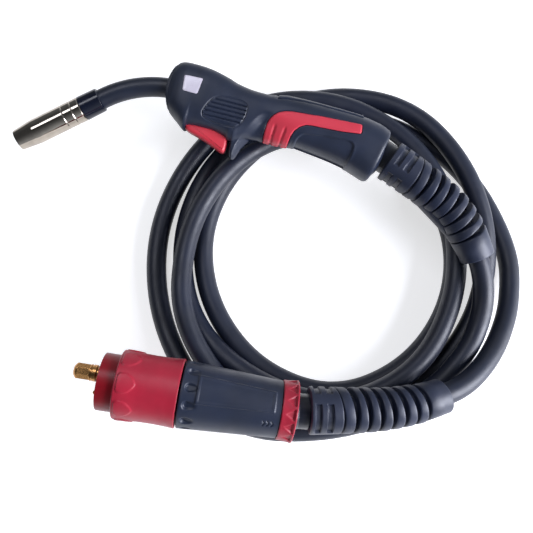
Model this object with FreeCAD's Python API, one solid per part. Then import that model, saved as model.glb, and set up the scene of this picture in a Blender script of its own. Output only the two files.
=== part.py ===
import FreeCAD, Part
import math
import os

# A gas-cooled MIG welding torch lying on its own coiled cable, in millimetres.
# The row origin is the centre of the plug's front face. +X runs along the torch, +Z is up.

V = FreeCAD.Vector
Placed = FreeCAD.Placement
Turn = FreeCAD.Rotation

# Where the two ends lie
FLOOR_Z = -64.0
CONNECTOR_TURN = -8.8
CONNECTOR_DROP = 2.0
HANDLE_AT = V(222.8, 189.9, -6.0)
HANDLE_TURN = -17.0
HANDLE_DROP = 2.5
HANDLE_ROLL = 15.0

# Clearances
FIT = 0.05
RUNNING = 0.08
GAP = 0.3

# Cable
CABLE_OD = 17.5
CABLE_LIFT = 0.05
CORE_OD = 10.0
BOOT_BORE_GAP = 0.3
COIL_CENTRE = V(186.5, 124.6, 0)
COIL_STEP = 30.0
COIL_START = 330.0
COIL_SINK = 1.5

# Each turn of the coil, clockwise from COIL_START: radius of the turn and height above the floor
LOW = CABLE_OD / 2 + CABLE_LIFT
TURN_1 = [(139, 27), (150, 27), (159, 30), (180, 24), (166, LOW), (156, LOW),
          (150, LOW), (146, 26.5), (133, 28), (121, 27), (113, 27), (109, 27)]
TURN_2 = [(116, 27), (131, 27), (141, 26), (138.5, 24), (140, LOW), (133, LOW),
          (131, LOW), (134, LOW), (148, LOW), (149, 24), (140, 28.5), (141, 19)]
TURN_3 = [(143, LOW), (144, LOW), (150, LOW), (160, 21), (148, 33), (127, 28),
          (114, 28), (107, 28), (106, 12), (107, LOW), (110, LOW), (113.5, LOW)]
TURN_4 = [(118, LOW), (125, LOW), (133, LOW), (127, LOW), (119.5, LOW), (115, LOW),
          (112.5, LOW), (115.5, LOW), (128, LOW), (134, LOW), (147.5, LOW), (161, LOW)]
TURNS = [TURN_1, TURN_2, TURN_3, TURN_4]

# Cable points outside the coil, height above the floor, from each ball joint towards the coil
HANDLE_LEAD = [(269.3, 161.3, 57.5), (292.0, 136.3, 54.5), (308.8, 102.6, 47.0), (313.6, 79.6, 40.5),
               (310.9, 54.4, 35.0), (298.4, 25.0, 29.0)]
CONNECTOR_LEAD = [(201.7, -26.0, 57.0), (237.5, -22.3, 54.5), (268.3, -13.4, 51.0), (289.7, -2.5, 46.5),
                  (310.3, 15.4, 37.5), (330.3, 39.4, 25.5), (347.3, 73.2, 14.5)]

# Ball joints and boots, measured along the cable from the ball's centre
BALL_R = 17.0
CUP_WALL = 2.0
BALL_HOLLOW_R = 12.5
BALL_FRONT = 8.5
NECK_R = 13.5
NECK_PLAY = 4.0
CORE_BALL_R = 6.2
HANDLE_BOOT = {"collar": (20.2, 47.5), "collar_r": (18.0, 17.6), "ribs": 7, "first_gap": 3.6,
               "rib": 5.2, "gap": 3.6, "rib_r": (17.0, 14.8), "sleeve": 21.0, "sleeve_r": 14.1}
CONNECTOR_BOOT = {"collar": (18.4, 46.0), "collar_r": (18.4, 18.0), "ribs": 7, "first_gap": 5.6,
                  "rib": 5.6, "gap": 3.9, "rib_r": (17.4, 15.2), "sleeve": 17.0, "sleeve_r": 14.0}
BOOT_CORE_R = 12.2
SLOT_WIDE = 4.0
SLOT_HALF = 9.5
SLOT_DEEP = 1.4
SLOT_FIRST = 6.0
SLOT_PITCH = 9.0

# Connector, measured along its axis from the plug's front face
PLUG_R = 21.85
PLUG_LAND = 13.0
PLUG_STEP = 0.25
PLUG_LEN = 62.0
PLUG_FLANGE_R = 23.6
PLUG_FLANGE = (44.0, 47.7)
PLUG_TAIL_R = 19.0
PLUG_TAIL_LEN = 15.0
NUT_X = (13.0, 60.1)
NUT_R = (26.4, 25.5, 26.3)
NUT_THREAD_R = 24.0
ARCH_COUNT = 8
ARCH_START = 3.4
ARCH_LEN = 16.0
ARCH_HALF = 7.4
ARCH_PROUD = 0.45
BARREL_X = (63.4, 137.7)
BARREL_R = (25.8, 21.8)
PANEL_X = (75.0, 131.0)
PANEL_HALF = 13.0
PANEL_PROUD = 0.6
RING_LEN = 11.9
RING_R = (22.6, 23.7)
RING_OVERLAP = 7.0
BODY_R = 12.0
BODY_X = (18.0, 92.0)
SPIGOT_R = 5.0
SPIGOT_UP = 5.0
SPIGOT_X = (-17.0, 30.0)
SPIGOT_THREAD_R = 3.5
LINER_NUT_X = (-21.9, -9.2)
LINER_NUT_R = 6.3
WIRE_WAY_R = 1.2
ORING_X = 9.0
ORING_WIRE_R = 0.9
PIN_R = 1.6
PIN_OUT = 3.6
PIN_TRAVEL = 3.0
PIN_DOWN = 9.0
PIN_ASIDE = 7.5
PIN_SLEEVE_R = 2.6
PIN_SLEEVE_LEN = 20.0
PIN_SPRING_LEN = 5.0
CRIMP_R = 8.5
CRIMP_LEN = 24.0
BARREL_SCREW_R = 1.5
CONNECTOR_BALL_X = 141.7

# Handle, in its own frame: x to the cable, y to the spine, z to the side that faces up
HANDLE_BALL = V(-10.0, 6.0, 0)
SHELL_WALL = 2.6
SHELL_CORNER = 0.78
# x, underside y, spine y, half width
HANDLE_SECTIONS = [
    (-187.0, -12.5, 21.0, 14.0), (-182.0, -18.5, 25.0, 17.0), (-175.0, -24.0, 26.5, 19.0),
    (-167.5, -29.0, 26.8, 19.5), (-165.5, -26.0, 26.8, 19.5), (-158.0, -22.4, 26.5, 19.5),
    (-150.0, -21.4, 25.3, 19.0), (-141.0, -21.6, 24.0, 18.5), (-131.0, -22.6, 21.8, 18.0),
    (-121.0, -22.6, 20.8, 17.0), (-110.0, -20.6, 21.4, 16.5), (-99.3, -18.3, 22.7, 17.5),
    (-88.9, -17.0, 25.3, 18.5), (-78.8, -16.1, 26.2, 19.5), (-66.0, -15.2, 26.8, 20.6),
    (-45.8, -16.6, 27.9, 21.5), (-26.6, -18.7, 28.6, 22.3), (-14.0, -21.6, 27.4, 22.8),
    (-5.0, -23.0, 26.4, 22.8), (3.0, -22.0, 22.6, 21.6)]
BAND_LEN = 3.2
BAND_DROP = 1.6
GUARD_HALF = 8.5
GUARD = [(-126.6, -19.5), (-126.2, -34.0), (-123.6, -38.8), (-120.8, -40.6), (-118.4, -38.4),
         (-116.4, -33.0), (-114.0, -27.4), (-109.7, -21.8), (-104.0, -16.5)]
INSERT_PROUD = 0.5
INSERT_DEEP = 1.3
INSERT = [(-98.6, -30.0), (-98.9, -12.5), (-99.0, -3.7), (-97.9, 1.1), (-93.4, 7.0), (-88.2, 10.0),
          (-78.1, 11.9), (-50.0, 15.2), (-23.9, 18.2), (-21.9, 17.5), (-21.4, 10.5), (-28.8, 9.1),
          (-59.1, 6.0), (-67.4, 3.8), (-71.7, 0.6), (-75.1, -5.7), (-76.7, -11.7), (-77.4, -30.0)]
PANEL = [(-70.3, -30.0), (-68.8, -5.5), (-65.3, -2.7), (-56.8, -1.2), (-35.5, 2.4), (-29.5, 3.5),
         (-24.9, 0.5), (-25.6, -30.0)]
PANEL_DEEP = 0.6
PAD = [(-147.4, 5.0), (-126.7, 6.2), (-118.6, 5.2), (-116.6, 2.0), (-117.1, -1.8), (-122.2, -14.4),
       (-128.1, -17.8), (-153.1, -15.3), (-155.4, -11.0), (-150.5, 3.0)]
BADGE = [(-176.2, 11.4), (-175.4, 12.2), (-161.6, 13.6), (-160.8, 12.8), (-161.6, 0.8), (-162.6, -0.1),
         (-173.4, -0.6), (-174.4, 0.3)]
BADGE_PROUD = 0.35
BADGE_DEEP = 0.8
STRIP_X = (-97.0, -24.5)
STRIP_HALF = 9.0
STRIP_PROUD = 0.5

# Trigger and switch, handle frame
TRIGGER = [(-166.0, -27.8), (-165.6, -18.0), (-164.0, -15.4), (-159.6, -15.4), (-158.4, -17.5),
           (-157.6, -20.8), (-128.9, -20.8), (-127.7, -23.0), (-128.7, -34.0), (-129.6, -37.2),
           (-131.2, -38.0), (-141.1, -34.4), (-149.1, -31.8), (-161.1, -29.6)]
TRIGGER_HALF = 6.6
TRIGGER_PIN_AT = (-161.8, -18.5)
TRIGGER_PIN_R = 1.5
TRIGGER_PIN_HALF = 13.0
SWITCH_X = (-156.0, -136.0)
SWITCH_Y = (-17.2, -7.4)
SWITCH_HALF = 3.2
PLUNGER_X = -146.0
PLUNGER_R = 1.4
PLUNGER_INSIDE = 3.0

# Neck and front end, handle frame and then along the nozzle from the end of the neck's bend
NECK_Y = 2.6
NECK_START_X = -132.0
BEND_START_X = -174.0
BEND_R = 96.0
BEND_ANGLE = 43.8
NECK_TUBE_R = 6.0
NECK_BORE_R = 2.6
NECK_SLEEVE_R = 8.3
NECK_TUBE_END = 24.0
NECK_SLEEVE_END = 12.0
LINER_R = 2.3
BLOCK_X = (-172.0, -124.0)
BLOCK_R = 9.5
END_RING_U = (2.0, 19.7)
END_RING_R = (10.2, 10.5)
NOZZLE_U = (20.0, 81.2)
NOZZLE_R = 10.5
NOZZLE_TAPER_U = 64.6
NOZZLE_TIP_R = 8.8
NOZZLE_WALL = 1.5
NOZZLE_GROOVES = [27.5, 35.7]
NOZZLE_GROOVE = (1.2, 0.35)
HOLDER_U = (24.4, 50.0)
HOLDER_R = 5.0
HOLDER_THREAD_R = 3.0
DIFFUSER_U = (25.0, 44.0)
DIFFUSER_R = 7.4
TIP_U = (44.5, 72.0)
TIP_R = 4.0
WIRE_R = 0.65
SPLIT_RING_U = (21.0, 24.0)

COUPLER_X = (-124.0, -98.0)
COUPLER_R = 8.0
BULKHEADS = [(-176.5, -173.0), (-126.5, -123.0), (-104.0, -100.5), (-60.0, -57.0), (-31.0, -28.0)]
SHELL_SCREWS = [(-178.5, 20.0), (-112.0, 15.5), (-62.0, 18.5), (-36.0, -9.0)]
SHELL_SCREW_R = 1.5
SHELL_SCREW_HEAD_R = 2.9


def turned(profile):
    """Solid turned about the local x axis from a closed outline of (x, r) points."""
    points = [V(x, r, 0) for x, r in profile]
    points.append(points[0])
    return Part.Face(Part.makePolygon(points)).revolve(V(0, 0, 0), V(1, 0, 0), 360)


def rod(x0, x1, r, y=0.0, z=0.0):
    return Part.makeCylinder(r, x1 - x0, V(x0, y, z), V(1, 0, 0))


def ring(x0, x1, r_out, r_in):
    return rod(x0, x1, r_out).cut(rod(x0 - 1, x1 + 1, r_in))


def box(x0, x1, y0, y1, z0, z1):
    return Part.makeBox(x1 - x0, y1 - y0, z1 - z0, V(x0, y0, z0))


def slab(outline, z0, z1):
    points = [V(x, y, z0) for x, y in outline]
    points.append(points[0])
    return Part.Face(Part.makePolygon(points)).extrude(V(0, 0, z1 - z0))


def hexagon(x0, x1, across):
    corners = [(across / math.sqrt(3) * math.cos(math.radians(a)),
                across / math.sqrt(3) * math.sin(math.radians(a))) for a in range(0, 360, 60)]
    points = [V(x0, y, z) for y, z in corners]
    points.append(points[0])
    return Part.Face(Part.makePolygon(points)).extrude(V(x1 - x0, 0, 0))


def moved(shape, placement):
    copy = shape.copy()
    copy.Placement = placement.multiply(copy.Placement)
    return copy


def joined(shapes):
    result = shapes[0]
    for shape in shapes[1:]:
        result = result.fuse(shape)
    return result


def above_floor(x, y, height):
    return V(x, y, height + FLOOR_Z)


# Frames
CONNECTOR = Placed(V(0, 0, 0), Turn(V(0, 0, 1), CONNECTOR_TURN).multiply(Turn(V(0, 1, 0), CONNECTOR_DROP)))
HANDLE = Placed(HANDLE_AT, Turn(V(0, 0, 1), HANDLE_TURN)
                .multiply(Turn(V(0, 1, 0), HANDLE_DROP)).multiply(Turn(V(1, 0, 0), HANDLE_ROLL)))
BEND_END = V(BEND_START_X - BEND_R * math.sin(math.radians(BEND_ANGLE)),
             NECK_Y - BEND_R * (1 - math.cos(math.radians(BEND_ANGLE))), 0)
NOZZLE = HANDLE.multiply(Placed(BEND_END, Turn(V(0, 0, 1), 180 + BEND_ANGLE)))


# Cable route

def coil_points():
    """Corner points of the coil: each lies outside its turn, so that the arcs meet the turn."""
    reach = 1 / math.cos(math.radians(COIL_STEP / 2))
    points = []
    for turn in TURNS:
        for step, (radius, height) in enumerate(turn):
            angle = math.radians(COIL_START - COIL_STEP * step)
            points.append(above_floor(COIL_CENTRE.x + radius * reach * math.cos(angle),
                                      COIL_CENTRE.y + radius * reach * math.sin(angle), height))
    return points[1:]


def handle_lead():
    return [HANDLE.multVec(HANDLE_BALL)] + [above_floor(*p) for p in HANDLE_LEAD] + coil_points()[:3]


def connector_lead():
    ball = CONNECTOR.multVec(V(CONNECTOR_BALL_X, 0, 0))
    return [ball] + [above_floor(*p) for p in CONNECTOR_LEAD] + coil_points()[:-5:-1]


def path_edges(points, name=None):
    """Straight runs joined by tangent arcs as large as the two runs allow."""
    edges = []
    at = points[0]
    radii = []
    for before, corner, after in zip(points, points[1:], points[2:]):
        into = (corner - before).normalize()
        out = (after - corner).normalize()
        turn = into.getAngle(out)
        tangent = 0.45 * min((corner - before).Length, (after - corner).Length)
        radii.append(tangent / math.tan(turn / 2))
        start = corner - into * tangent
        end = corner + out * tangent
        inward = (out - into).normalize()
        middle = corner + inward * (math.hypot(radii[-1], tangent) - radii[-1])
        edges.append(Part.LineSegment(at, start).toShape())
        edges.append(Part.Arc(start, middle, end).toShape())
        at = end
    edges.append(Part.LineSegment(at, points[-1]).toShape())
    if name:
        print(name, "radii", [round(r) for r in radii])
    return edges


def trimmed_edges(edges, start, end):
    """The stretch of a path from one distance to another."""
    kept = []
    done = 0.0
    for edge in edges:
        low = max(start - done, 0.0)
        high = min(end - done, edge.Length)
        if high - low > 1e-6:
            first = edge.getParameterByLength(low)
            last = edge.getParameterByLength(high)
            kept.append(edge.Curve.toShape(first, last))
        done += edge.Length
    return kept


def along(edges, distance):
    """Point and direction at a distance along a path."""
    for edge in edges:
        if distance <= edge.Length:
            parameter = edge.getParameterByLength(distance)
            return edge.valueAt(parameter), edge.tangentAt(parameter)
        distance -= edge.Length
    last = edges[-1]
    return last.valueAt(last.LastParameter), last.tangentAt(last.LastParameter)


def across_path(point, way):
    """Placement at a path point with its z along the path and its x as near up as can be."""
    side = way.cross(V(0, 0, 1)).normalize()
    up = side.cross(way).normalize()
    return Placed(FreeCAD.Matrix(up.x, side.x, way.x, point.x, up.y, side.y, way.y, point.y,
                                 up.z, side.z, way.z, point.z, 0, 0, 0, 1))


def circle_across(point, way, radius):
    circle = Part.makeCircle(radius)
    circle.Placement = across_path(point, way)
    return Part.Wire(circle)


def swept(edges, radius):
    start = edges[0].valueAt(edges[0].FirstParameter)
    way = edges[0].tangentAt(edges[0].FirstParameter)
    circle = Part.Wire(Part.makeCircle(radius, start, way))
    shape = Part.Wire(edges).makePipeShell([circle], True, False)
    length = sum(edge.Length for edge in edges)
    print("swept volume over section times length", round(shape.Volume / (math.pi * radius ** 2 * length), 4))
    return shape


def coil_section(step):
    """Inner and outer edge of the coil and its top height at one clock position."""
    radii = []
    for number, turn in enumerate(TURNS):
        leads = (number == 0 and step == 0) or (number == 3 and step > 8)
        if not leads:
            radii.append(turn[step])
    radii.sort()
    half = CABLE_OD / 2
    inner = radii[0][0] - half
    outer = radii[-1][0] + half
    inner_top = radii[0][1] + half - COIL_SINK
    outer_top = radii[-1][1] + half - COIL_SINK
    return inner, outer, inner_top, outer_top


def cable_coil():
    """The coil as one closed ring with the outline and the top heights of its turns."""
    between = 2
    count = len(TURN_1) * between
    sections = []
    for i in range(count):
        step, part = divmod(i, between)
        share = part / between
        here = coil_section(step)
        following = coil_section((step + 1) % len(TURN_1))
        inner, outer, inner_top, outer_top = [a + (b - a) * share for a, b in zip(here, following)]
        angle = math.radians(COIL_START - COIL_STEP * (step + share))
        corners = [(inner, 0.0), (outer, 0.0), (outer, outer_top), (inner, inner_top)]
        sections.append([above_floor(COIL_CENTRE.x + r * math.cos(angle),
                                     COIL_CENTRE.y + r * math.sin(angle), z) for r, z in corners])
    faces = []
    for i in range(count):
        here = sections[i]
        following = sections[(i + 1) % count]
        for j in range(4):
            k = (j + 1) % 4
            for corners in ((here[j], here[k], following[k]), (here[j], following[k], following[j])):
                faces.append(Part.Face(Part.makePolygon(list(corners) + [corners[0]])))
    solid = Part.Solid(Part.Shell(faces))
    if solid.Volume < 0:
        solid.reverse()
    return solid


# Boots and ball joints, built along the cable's own path

def boot_length(size):
    ribs = size["ribs"] * (size["rib"] + size["gap"])
    return size["collar"][1] + size["first_gap"] + ribs + size["sleeve"]


def boot_band(edges, start, end, r_start, r_end):
    """A short tapered band of the boot, square to the cable."""
    wires = []
    pieces = max(1, round((end - start) / 6.0))
    for i in range(pieces + 1):
        share = i / pieces
        point, way = along(edges, start + (end - start) * share)
        wires.append(circle_across(point, way, r_start + (r_end - r_start) * share))
    return Part.makeLoft(wires, True, True)


def boot(edges, size):
    start, collar_end = size["collar"]
    first_r, last_r = size["rib_r"]
    bands = [boot_band(edges, start, collar_end, *size["collar_r"])]
    at = collar_end + size["first_gap"]
    for i in range(size["ribs"]):
        radius = first_r + (last_r - first_r) * i / (size["ribs"] - 1)
        bands.append(boot_band(edges, at, at + size["rib"], radius, radius - 0.3))
        at += size["rib"] + size["gap"]
    bands.append(boot_band(edges, at, at + size["sleeve"], size["sleeve_r"] + 0.2, size["sleeve_r"]))
    core = boot_band(edges, collar_end - 1, at + 1, BOOT_CORE_R + 0.6, BOOT_CORE_R)
    solid = joined([core] + bands)
    bore = swept(trimmed_edges(edges, start - 1, at + size["sleeve"] + 3), CABLE_OD / 2 + BOOT_BORE_GAP)
    return solid.cut(bore).cut(collar_slots(edges, size))


def collar_slots(edges, size):
    """Two short slots on the upper side and two on the under side of the collar."""
    cutters = []
    start = size["collar"][0]
    for i in range(2):
        point, way = along(edges, start + SLOT_FIRST + SLOT_PITCH * i)
        radius = size["collar_r"][0]
        band = Part.makeCylinder(radius + 2, SLOT_WIDE, point - way * (SLOT_WIDE / 2), way)
        band = band.cut(Part.makeCylinder(radius - SLOT_DEEP, SLOT_WIDE + 2, point - way * (SLOT_WIDE / 2 + 1), way))
        for low, high in ((0.0, radius + 4), (-radius - 4, 0.0)):
            keep = box(low, high, -SLOT_HALF, SLOT_HALF, -SLOT_WIDE, SLOT_WIDE)
            cutters.append(band.common(moved(keep, across_path(point, way))))
    return joined(cutters)


def to_cable_frame(edges):
    """Frame at the ball's centre with x along the cable."""
    point, way = along(edges, 0.0)
    return Placed(point, Turn(V(1, 0, 0), way))


def knuckle_ball(size):
    """Hollow ball on a neck that is held in the boot's collar."""
    ball = Part.makeSphere(BALL_R)
    neck = rod(0, size["collar"][0], NECK_R)
    solid = ball.fuse(neck)
    solid = solid.cut(box(-2 * BALL_R, -BALL_FRONT, -2 * BALL_R, 2 * BALL_R, -2 * BALL_R, 2 * BALL_R))
    solid = solid.cut(Part.makeSphere(BALL_HOLLOW_R))
    return solid.cut(rod(0, size["collar"][0] + 1, CABLE_OD / 2 + BOOT_BORE_GAP))


def knuckle_cup():
    """Zone of a sphere between the ball and its seat, open to both sides."""
    inner = BALL_R + RUNNING
    outer = inner + CUP_WALL
    zone = Part.makeSphere(outer).cut(Part.makeSphere(inner))
    return zone.common(box(-9.5, 4.5, -30, 30, -30, 30))


def seat_radius():
    return BALL_R + RUNNING + CUP_WALL + RUNNING


def cable_end_core():
    """Bared conductor that ends in a ball at the joint's centre."""
    core = rod(0, BALL_HOLLOW_R + 2, CORE_OD / 2)
    return core.fuse(Part.makeSphere(CORE_BALL_R))


# Connector pieces, about the connector's axis

def plug_insulator():
    tail = PLUG_LEN + PLUG_TAIL_LEN
    inner = PLUG_R - PLUG_STEP
    body = turned([(0, 0), (0, PLUG_R), (PLUG_LAND, PLUG_R), (PLUG_LAND, inner), (PLUG_FLANGE[0], inner),
                   (PLUG_FLANGE[0], PLUG_FLANGE_R), (PLUG_FLANGE[1], PLUG_FLANGE_R), (PLUG_FLANGE[1], inner),
                   (PLUG_LEN, inner), (PLUG_LEN, PLUG_TAIL_R), (tail, PLUG_TAIL_R), (tail, 0)])
    body = body.cut(rod(BODY_X[0], tail + 1, BODY_R + FIT))
    body = body.cut(rod(-1, BODY_X[0] + 1, SPIGOT_R + FIT, SPIGOT_UP))
    body = body.cut(rod(ORING_X - 1.2, ORING_X + 1.2, SPIGOT_R + 1.0, SPIGOT_UP))
    for side in (1, -1):
        body = body.cut(rod(-1, PIN_SLEEVE_LEN, PIN_SLEEVE_R + FIT, -PIN_DOWN, side * PIN_ASIDE))
    return body


def plug_body():
    body = rod(BODY_X[0], BODY_X[1], BODY_R)
    body = body.cut(rod(BODY_X[0] - 1, SPIGOT_X[1], SPIGOT_R + FIT, SPIGOT_UP))
    for side in (1, -1):
        notch = rod(BODY_X[0] - 1, PIN_SLEEVE_LEN + GAP, PIN_SLEEVE_R + 1, -PIN_DOWN, side * PIN_ASIDE)
        body = body.cut(notch)
    return body.cut(rod(SPIGOT_X[1] - 1, BODY_X[1] + 1, WIRE_WAY_R, SPIGOT_UP))


def gas_spigot():
    body = rod(LINER_NUT_X[1], SPIGOT_X[1], SPIGOT_R).fuse(rod(SPIGOT_X[0], LINER_NUT_X[1], SPIGOT_THREAD_R))
    groove = ring(ORING_X - 1.1, ORING_X + 1.1, SPIGOT_R + 1, SPIGOT_R - ORING_WIRE_R)
    body = body.cut(groove).cut(rod(SPIGOT_X[0] - 1, SPIGOT_X[1] + 1, WIRE_WAY_R))
    return moved(body, Placed(V(0, SPIGOT_UP, 0), Turn()))


def spigot_o_ring():
    torus = Part.makeTorus(SPIGOT_R - 0.02, ORING_WIRE_R - 0.02, V(ORING_X, SPIGOT_UP, 0), V(1, 0, 0))
    return torus


def liner_nut():
    x0, x1 = LINER_NUT_X
    body = turned([(x0, 0), (x0, LINER_NUT_R - 2.2), (x0 + 1.6, LINER_NUT_R - 0.5), (x0 + 3, LINER_NUT_R),
                   (x1 - 0.8, LINER_NUT_R), (x1, LINER_NUT_R - 0.8), (x1, 0)])
    body = body.common(hexagon(x0 - 1, x1 + 1, 2 * LINER_NUT_R * 0.93))
    body = body.cut(rod(SPIGOT_X[0], x1 + 1, SPIGOT_THREAD_R + FIT)).cut(rod(x0 - 1, x1, WIRE_WAY_R))
    return moved(body, Placed(V(0, SPIGOT_UP, 0), Turn()))


def contact_pin(side):
    head = rod(-PIN_OUT + PIN_R, 4.0, PIN_R).fuse(Part.makeSphere(PIN_R, V(-PIN_OUT + PIN_R, 0, 0)))
    tail = rod(4.0, PIN_SLEEVE_LEN - 1.5 - PIN_SPRING_LEN - PIN_TRAVEL - GAP, PIN_R - 0.3)
    return moved(head.fuse(tail), Placed(V(0, -PIN_DOWN, side * PIN_ASIDE), Turn()))


def contact_sleeves():
    sleeves = []
    for side in (1, -1):
        body = rod(0.2, PIN_SLEEVE_LEN - 0.2, PIN_SLEEVE_R).cut(rod(-1, PIN_SLEEVE_LEN - 1.4, PIN_R + RUNNING))
        sleeves.append(moved(body, Placed(V(0, -PIN_DOWN, side * PIN_ASIDE), Turn())))
    return Part.makeCompound(sleeves)


def pin_springs():
    springs = []
    for side in (1, -1):
        x0 = PIN_SLEEVE_LEN - 1.5 - PIN_SPRING_LEN
        body = ring(x0, x0 + PIN_SPRING_LEN, PIN_R, PIN_R - 0.5)
        springs.append(moved(body, Placed(V(0, -PIN_DOWN, side * PIN_ASIDE), Turn())))
    return Part.makeCompound(springs)


def collar_outline(growth):
    """Outside of the collar nut from front to rear, grown outwards."""
    x0, x1 = NUT_X
    front, waist, rear = [r + growth for r in NUT_R]
    return [(x0, front - 0.8), (x0 + 0.8, front), (x0 + 7, front), (x0 + 24, waist), (x1 - 2, rear),
            (x1 - 0.6, rear), (x1, rear - 0.6)]


def collar_arches():
    """Blocks that carry the outline of the raised arches round the front of the nut."""
    x0 = NUT_X[0] + ARCH_START
    inner = min(NUT_R) - 1
    arches = []
    for i in range(ARCH_COUNT):
        block = box(x0, x0 + ARCH_LEN - ARCH_HALF, -ARCH_HALF, ARCH_HALF, inner, inner + 4)
        block = block.fuse(Part.makeCylinder(ARCH_HALF, 4, V(x0 + ARCH_LEN - ARCH_HALF, 0, inner)))
        arches.append(moved(block, Placed(V(0, 0, 0), Turn(V(1, 0, 0), 360 / ARCH_COUNT * i))))
    return joined(arches)


def collar_nut():
    x0, x1 = NUT_X
    lip = PLUG_FLANGE[1] + GAP
    bore = PLUG_R - PLUG_STEP + RUNNING
    body = turned([(x0, NUT_THREAD_R)] + collar_outline(0) + [(x1, bore), (lip, bore), (lip, NUT_THREAD_R)])
    skin = turned([(x0, NUT_THREAD_R)] + collar_outline(ARCH_PROUD) + [(x1, NUT_THREAD_R)])
    return body.fuse(skin.common(collar_arches()))


def retaining_clip():
    """Spring clip in the plug's groove that keeps the collar nut on."""
    x0 = NUT_X[1] + GAP
    clip = ring(x0, x0 + 1.4, PLUG_R + 1.6, PLUG_R - PLUG_STEP + 0.01)
    return clip.cut(box(x0 - 1, x0 + 3, -3, 3, -PLUG_R - 5, 0))


def barrel_radius(x):
    share = (x - BARREL_X[0]) / (BARREL_X[1] - BARREL_X[0])
    return BARREL_R[0] + (BARREL_R[1] - BARREL_R[0]) * share


def connector_barrel():
    x0, x1 = BARREL_X
    ring_start = x1 - RING_OVERLAP
    step_r = seat_radius()
    tail = PLUG_LEN + PLUG_TAIL_LEN
    body = turned([(x0, PLUG_TAIL_R + FIT), (x0, barrel_radius(x0) - 0.6), (x0 + 0.6, barrel_radius(x0)),
                   (x1, barrel_radius(x1)), (x1, 0.0), (tail + 4, 0.0), (tail + 4, PLUG_TAIL_R + FIT)])
    centre = CONNECTOR_BALL_X
    body = body.cut(Part.makeSphere(step_r, V(centre, 0, 0)))
    body = body.cut(turned([(tail + 3, 0), (tail + 3, 17.2), (x1 - 20, 17.2), (x1 - 12, 14.5), (x1 + 1, 14.5),
                            (x1 + 1, 0)]))
    panel = [(PANEL_X[0], -PANEL_HALF), (PANEL_X[1], -PANEL_HALF), (PANEL_X[1], PANEL_HALF),
             (PANEL_X[0], PANEL_HALF)]
    recess = slab(panel, 0, 40).cut(grown_barrel(-0.8))
    rib = [(ring_start - 60, -2.0), (ring_start - 2, -2.0), (ring_start - 2, 2.0), (ring_start - 60, 2.0)]
    keel = slab(rib, -40, 0).common(grown_barrel(0.8))
    body = body.cut(recess).fuse(keel.cut(grown_barrel(-0.5)))
    for x in (BARREL_X[0] + 8, BARREL_X[1] - 12):
        body = body.cut(Part.makeCylinder(BARREL_SCREW_R + FIT, 12, V(x, 0, -barrel_radius(x) - 2), V(0, 0, 1)))
        body = body.cut(Part.makeCylinder(2.8 + GAP, 2.6, V(x, 0, -barrel_radius(x) - 1.0), V(0, 0, 1)))
    return body


def grown_barrel(growth):
    x0, x1 = BARREL_X
    return turned([(x0 - 5, 0), (x0 - 5, barrel_radius(x0 - 5) + growth), (x1 + 5, barrel_radius(x1 + 5) + growth),
                   (x1 + 5, 0)])


def barrel_panel():
    """Raised cover panel on the barrel's upper side."""
    side = FIT
    panel = [(PANEL_X[0] + side, -PANEL_HALF + side), (PANEL_X[1] - side, -PANEL_HALF + side),
             (PANEL_X[1] - side, PANEL_HALF - side), (PANEL_X[0] + side, PANEL_HALF - side)]
    return slab(panel, 0, 40).common(grown_barrel(PANEL_PROUD)).cut(grown_barrel(-0.8 + FIT))


def barrel_screws():
    screws = []
    for x in (BARREL_X[0] + 8, BARREL_X[1] - 12):
        r = barrel_radius(x)
        head = Part.makeCylinder(2.8, 1.6, V(x, 0, -r - 0.1), V(0, 0, 1))
        screws.append(head.fuse(Part.makeCylinder(BARREL_SCREW_R, 6.0, V(x, 0, -r), V(0, 0, 1))))
    return Part.makeCompound(screws)


def rear_ring():
    x0 = BARREL_X[1]
    x1 = x0 + RING_LEN
    front, rear = RING_R
    body = turned([(x0 + FIT, 0), (x0 + FIT, front), (x0 + 1, front + 0.3), (x1 - 1.2, rear), (x1, rear - 0.8),
                   (x1, 0)])
    facets = []
    for i in range(12):
        cut = Part.Face(Part.makePolygon([V(x0 + 1.6, -5.4, 0), V(x0 + 1.6, 5.4, 0), V(x1 - 2.0, 0, 0),
                                          V(x0 + 1.6, -5.4, 0)])).extrude(V(0, 0, 3))
        facets.append(moved(cut, Placed(V(0, 0, 0), Turn(V(1, 0, 0), 30 * i))
                            .multiply(Placed(V(0, 0, rear - 1.3), Turn()))))
    centre = CONNECTOR_BALL_X
    body = body.cut(Part.makeSphere(seat_radius(), V(centre, 0, 0)))
    body = body.cut(turned([(centre + 3, 0), (centre + 3, 16.8), (x1 + 1, 18.0), (x1 + 1, 0)]))
    return body.cut(joined(facets))


def rear_crimp():
    """Brass crimp that joins the cable's conductor to the plug body."""
    x0 = BODY_X[1]
    return rod(x0 + FIT, x0 + CRIMP_LEN, CRIMP_R)


def connector_conductor():
    x0 = BODY_X[1] + CRIMP_LEN
    centre = CONNECTOR_BALL_X
    core = rod(x0 + FIT, centre, CORE_OD / 2)
    return core.cut(Part.makeSphere(CORE_BALL_R + GAP, V(centre, 0, 0)))


# Handle pieces

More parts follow.
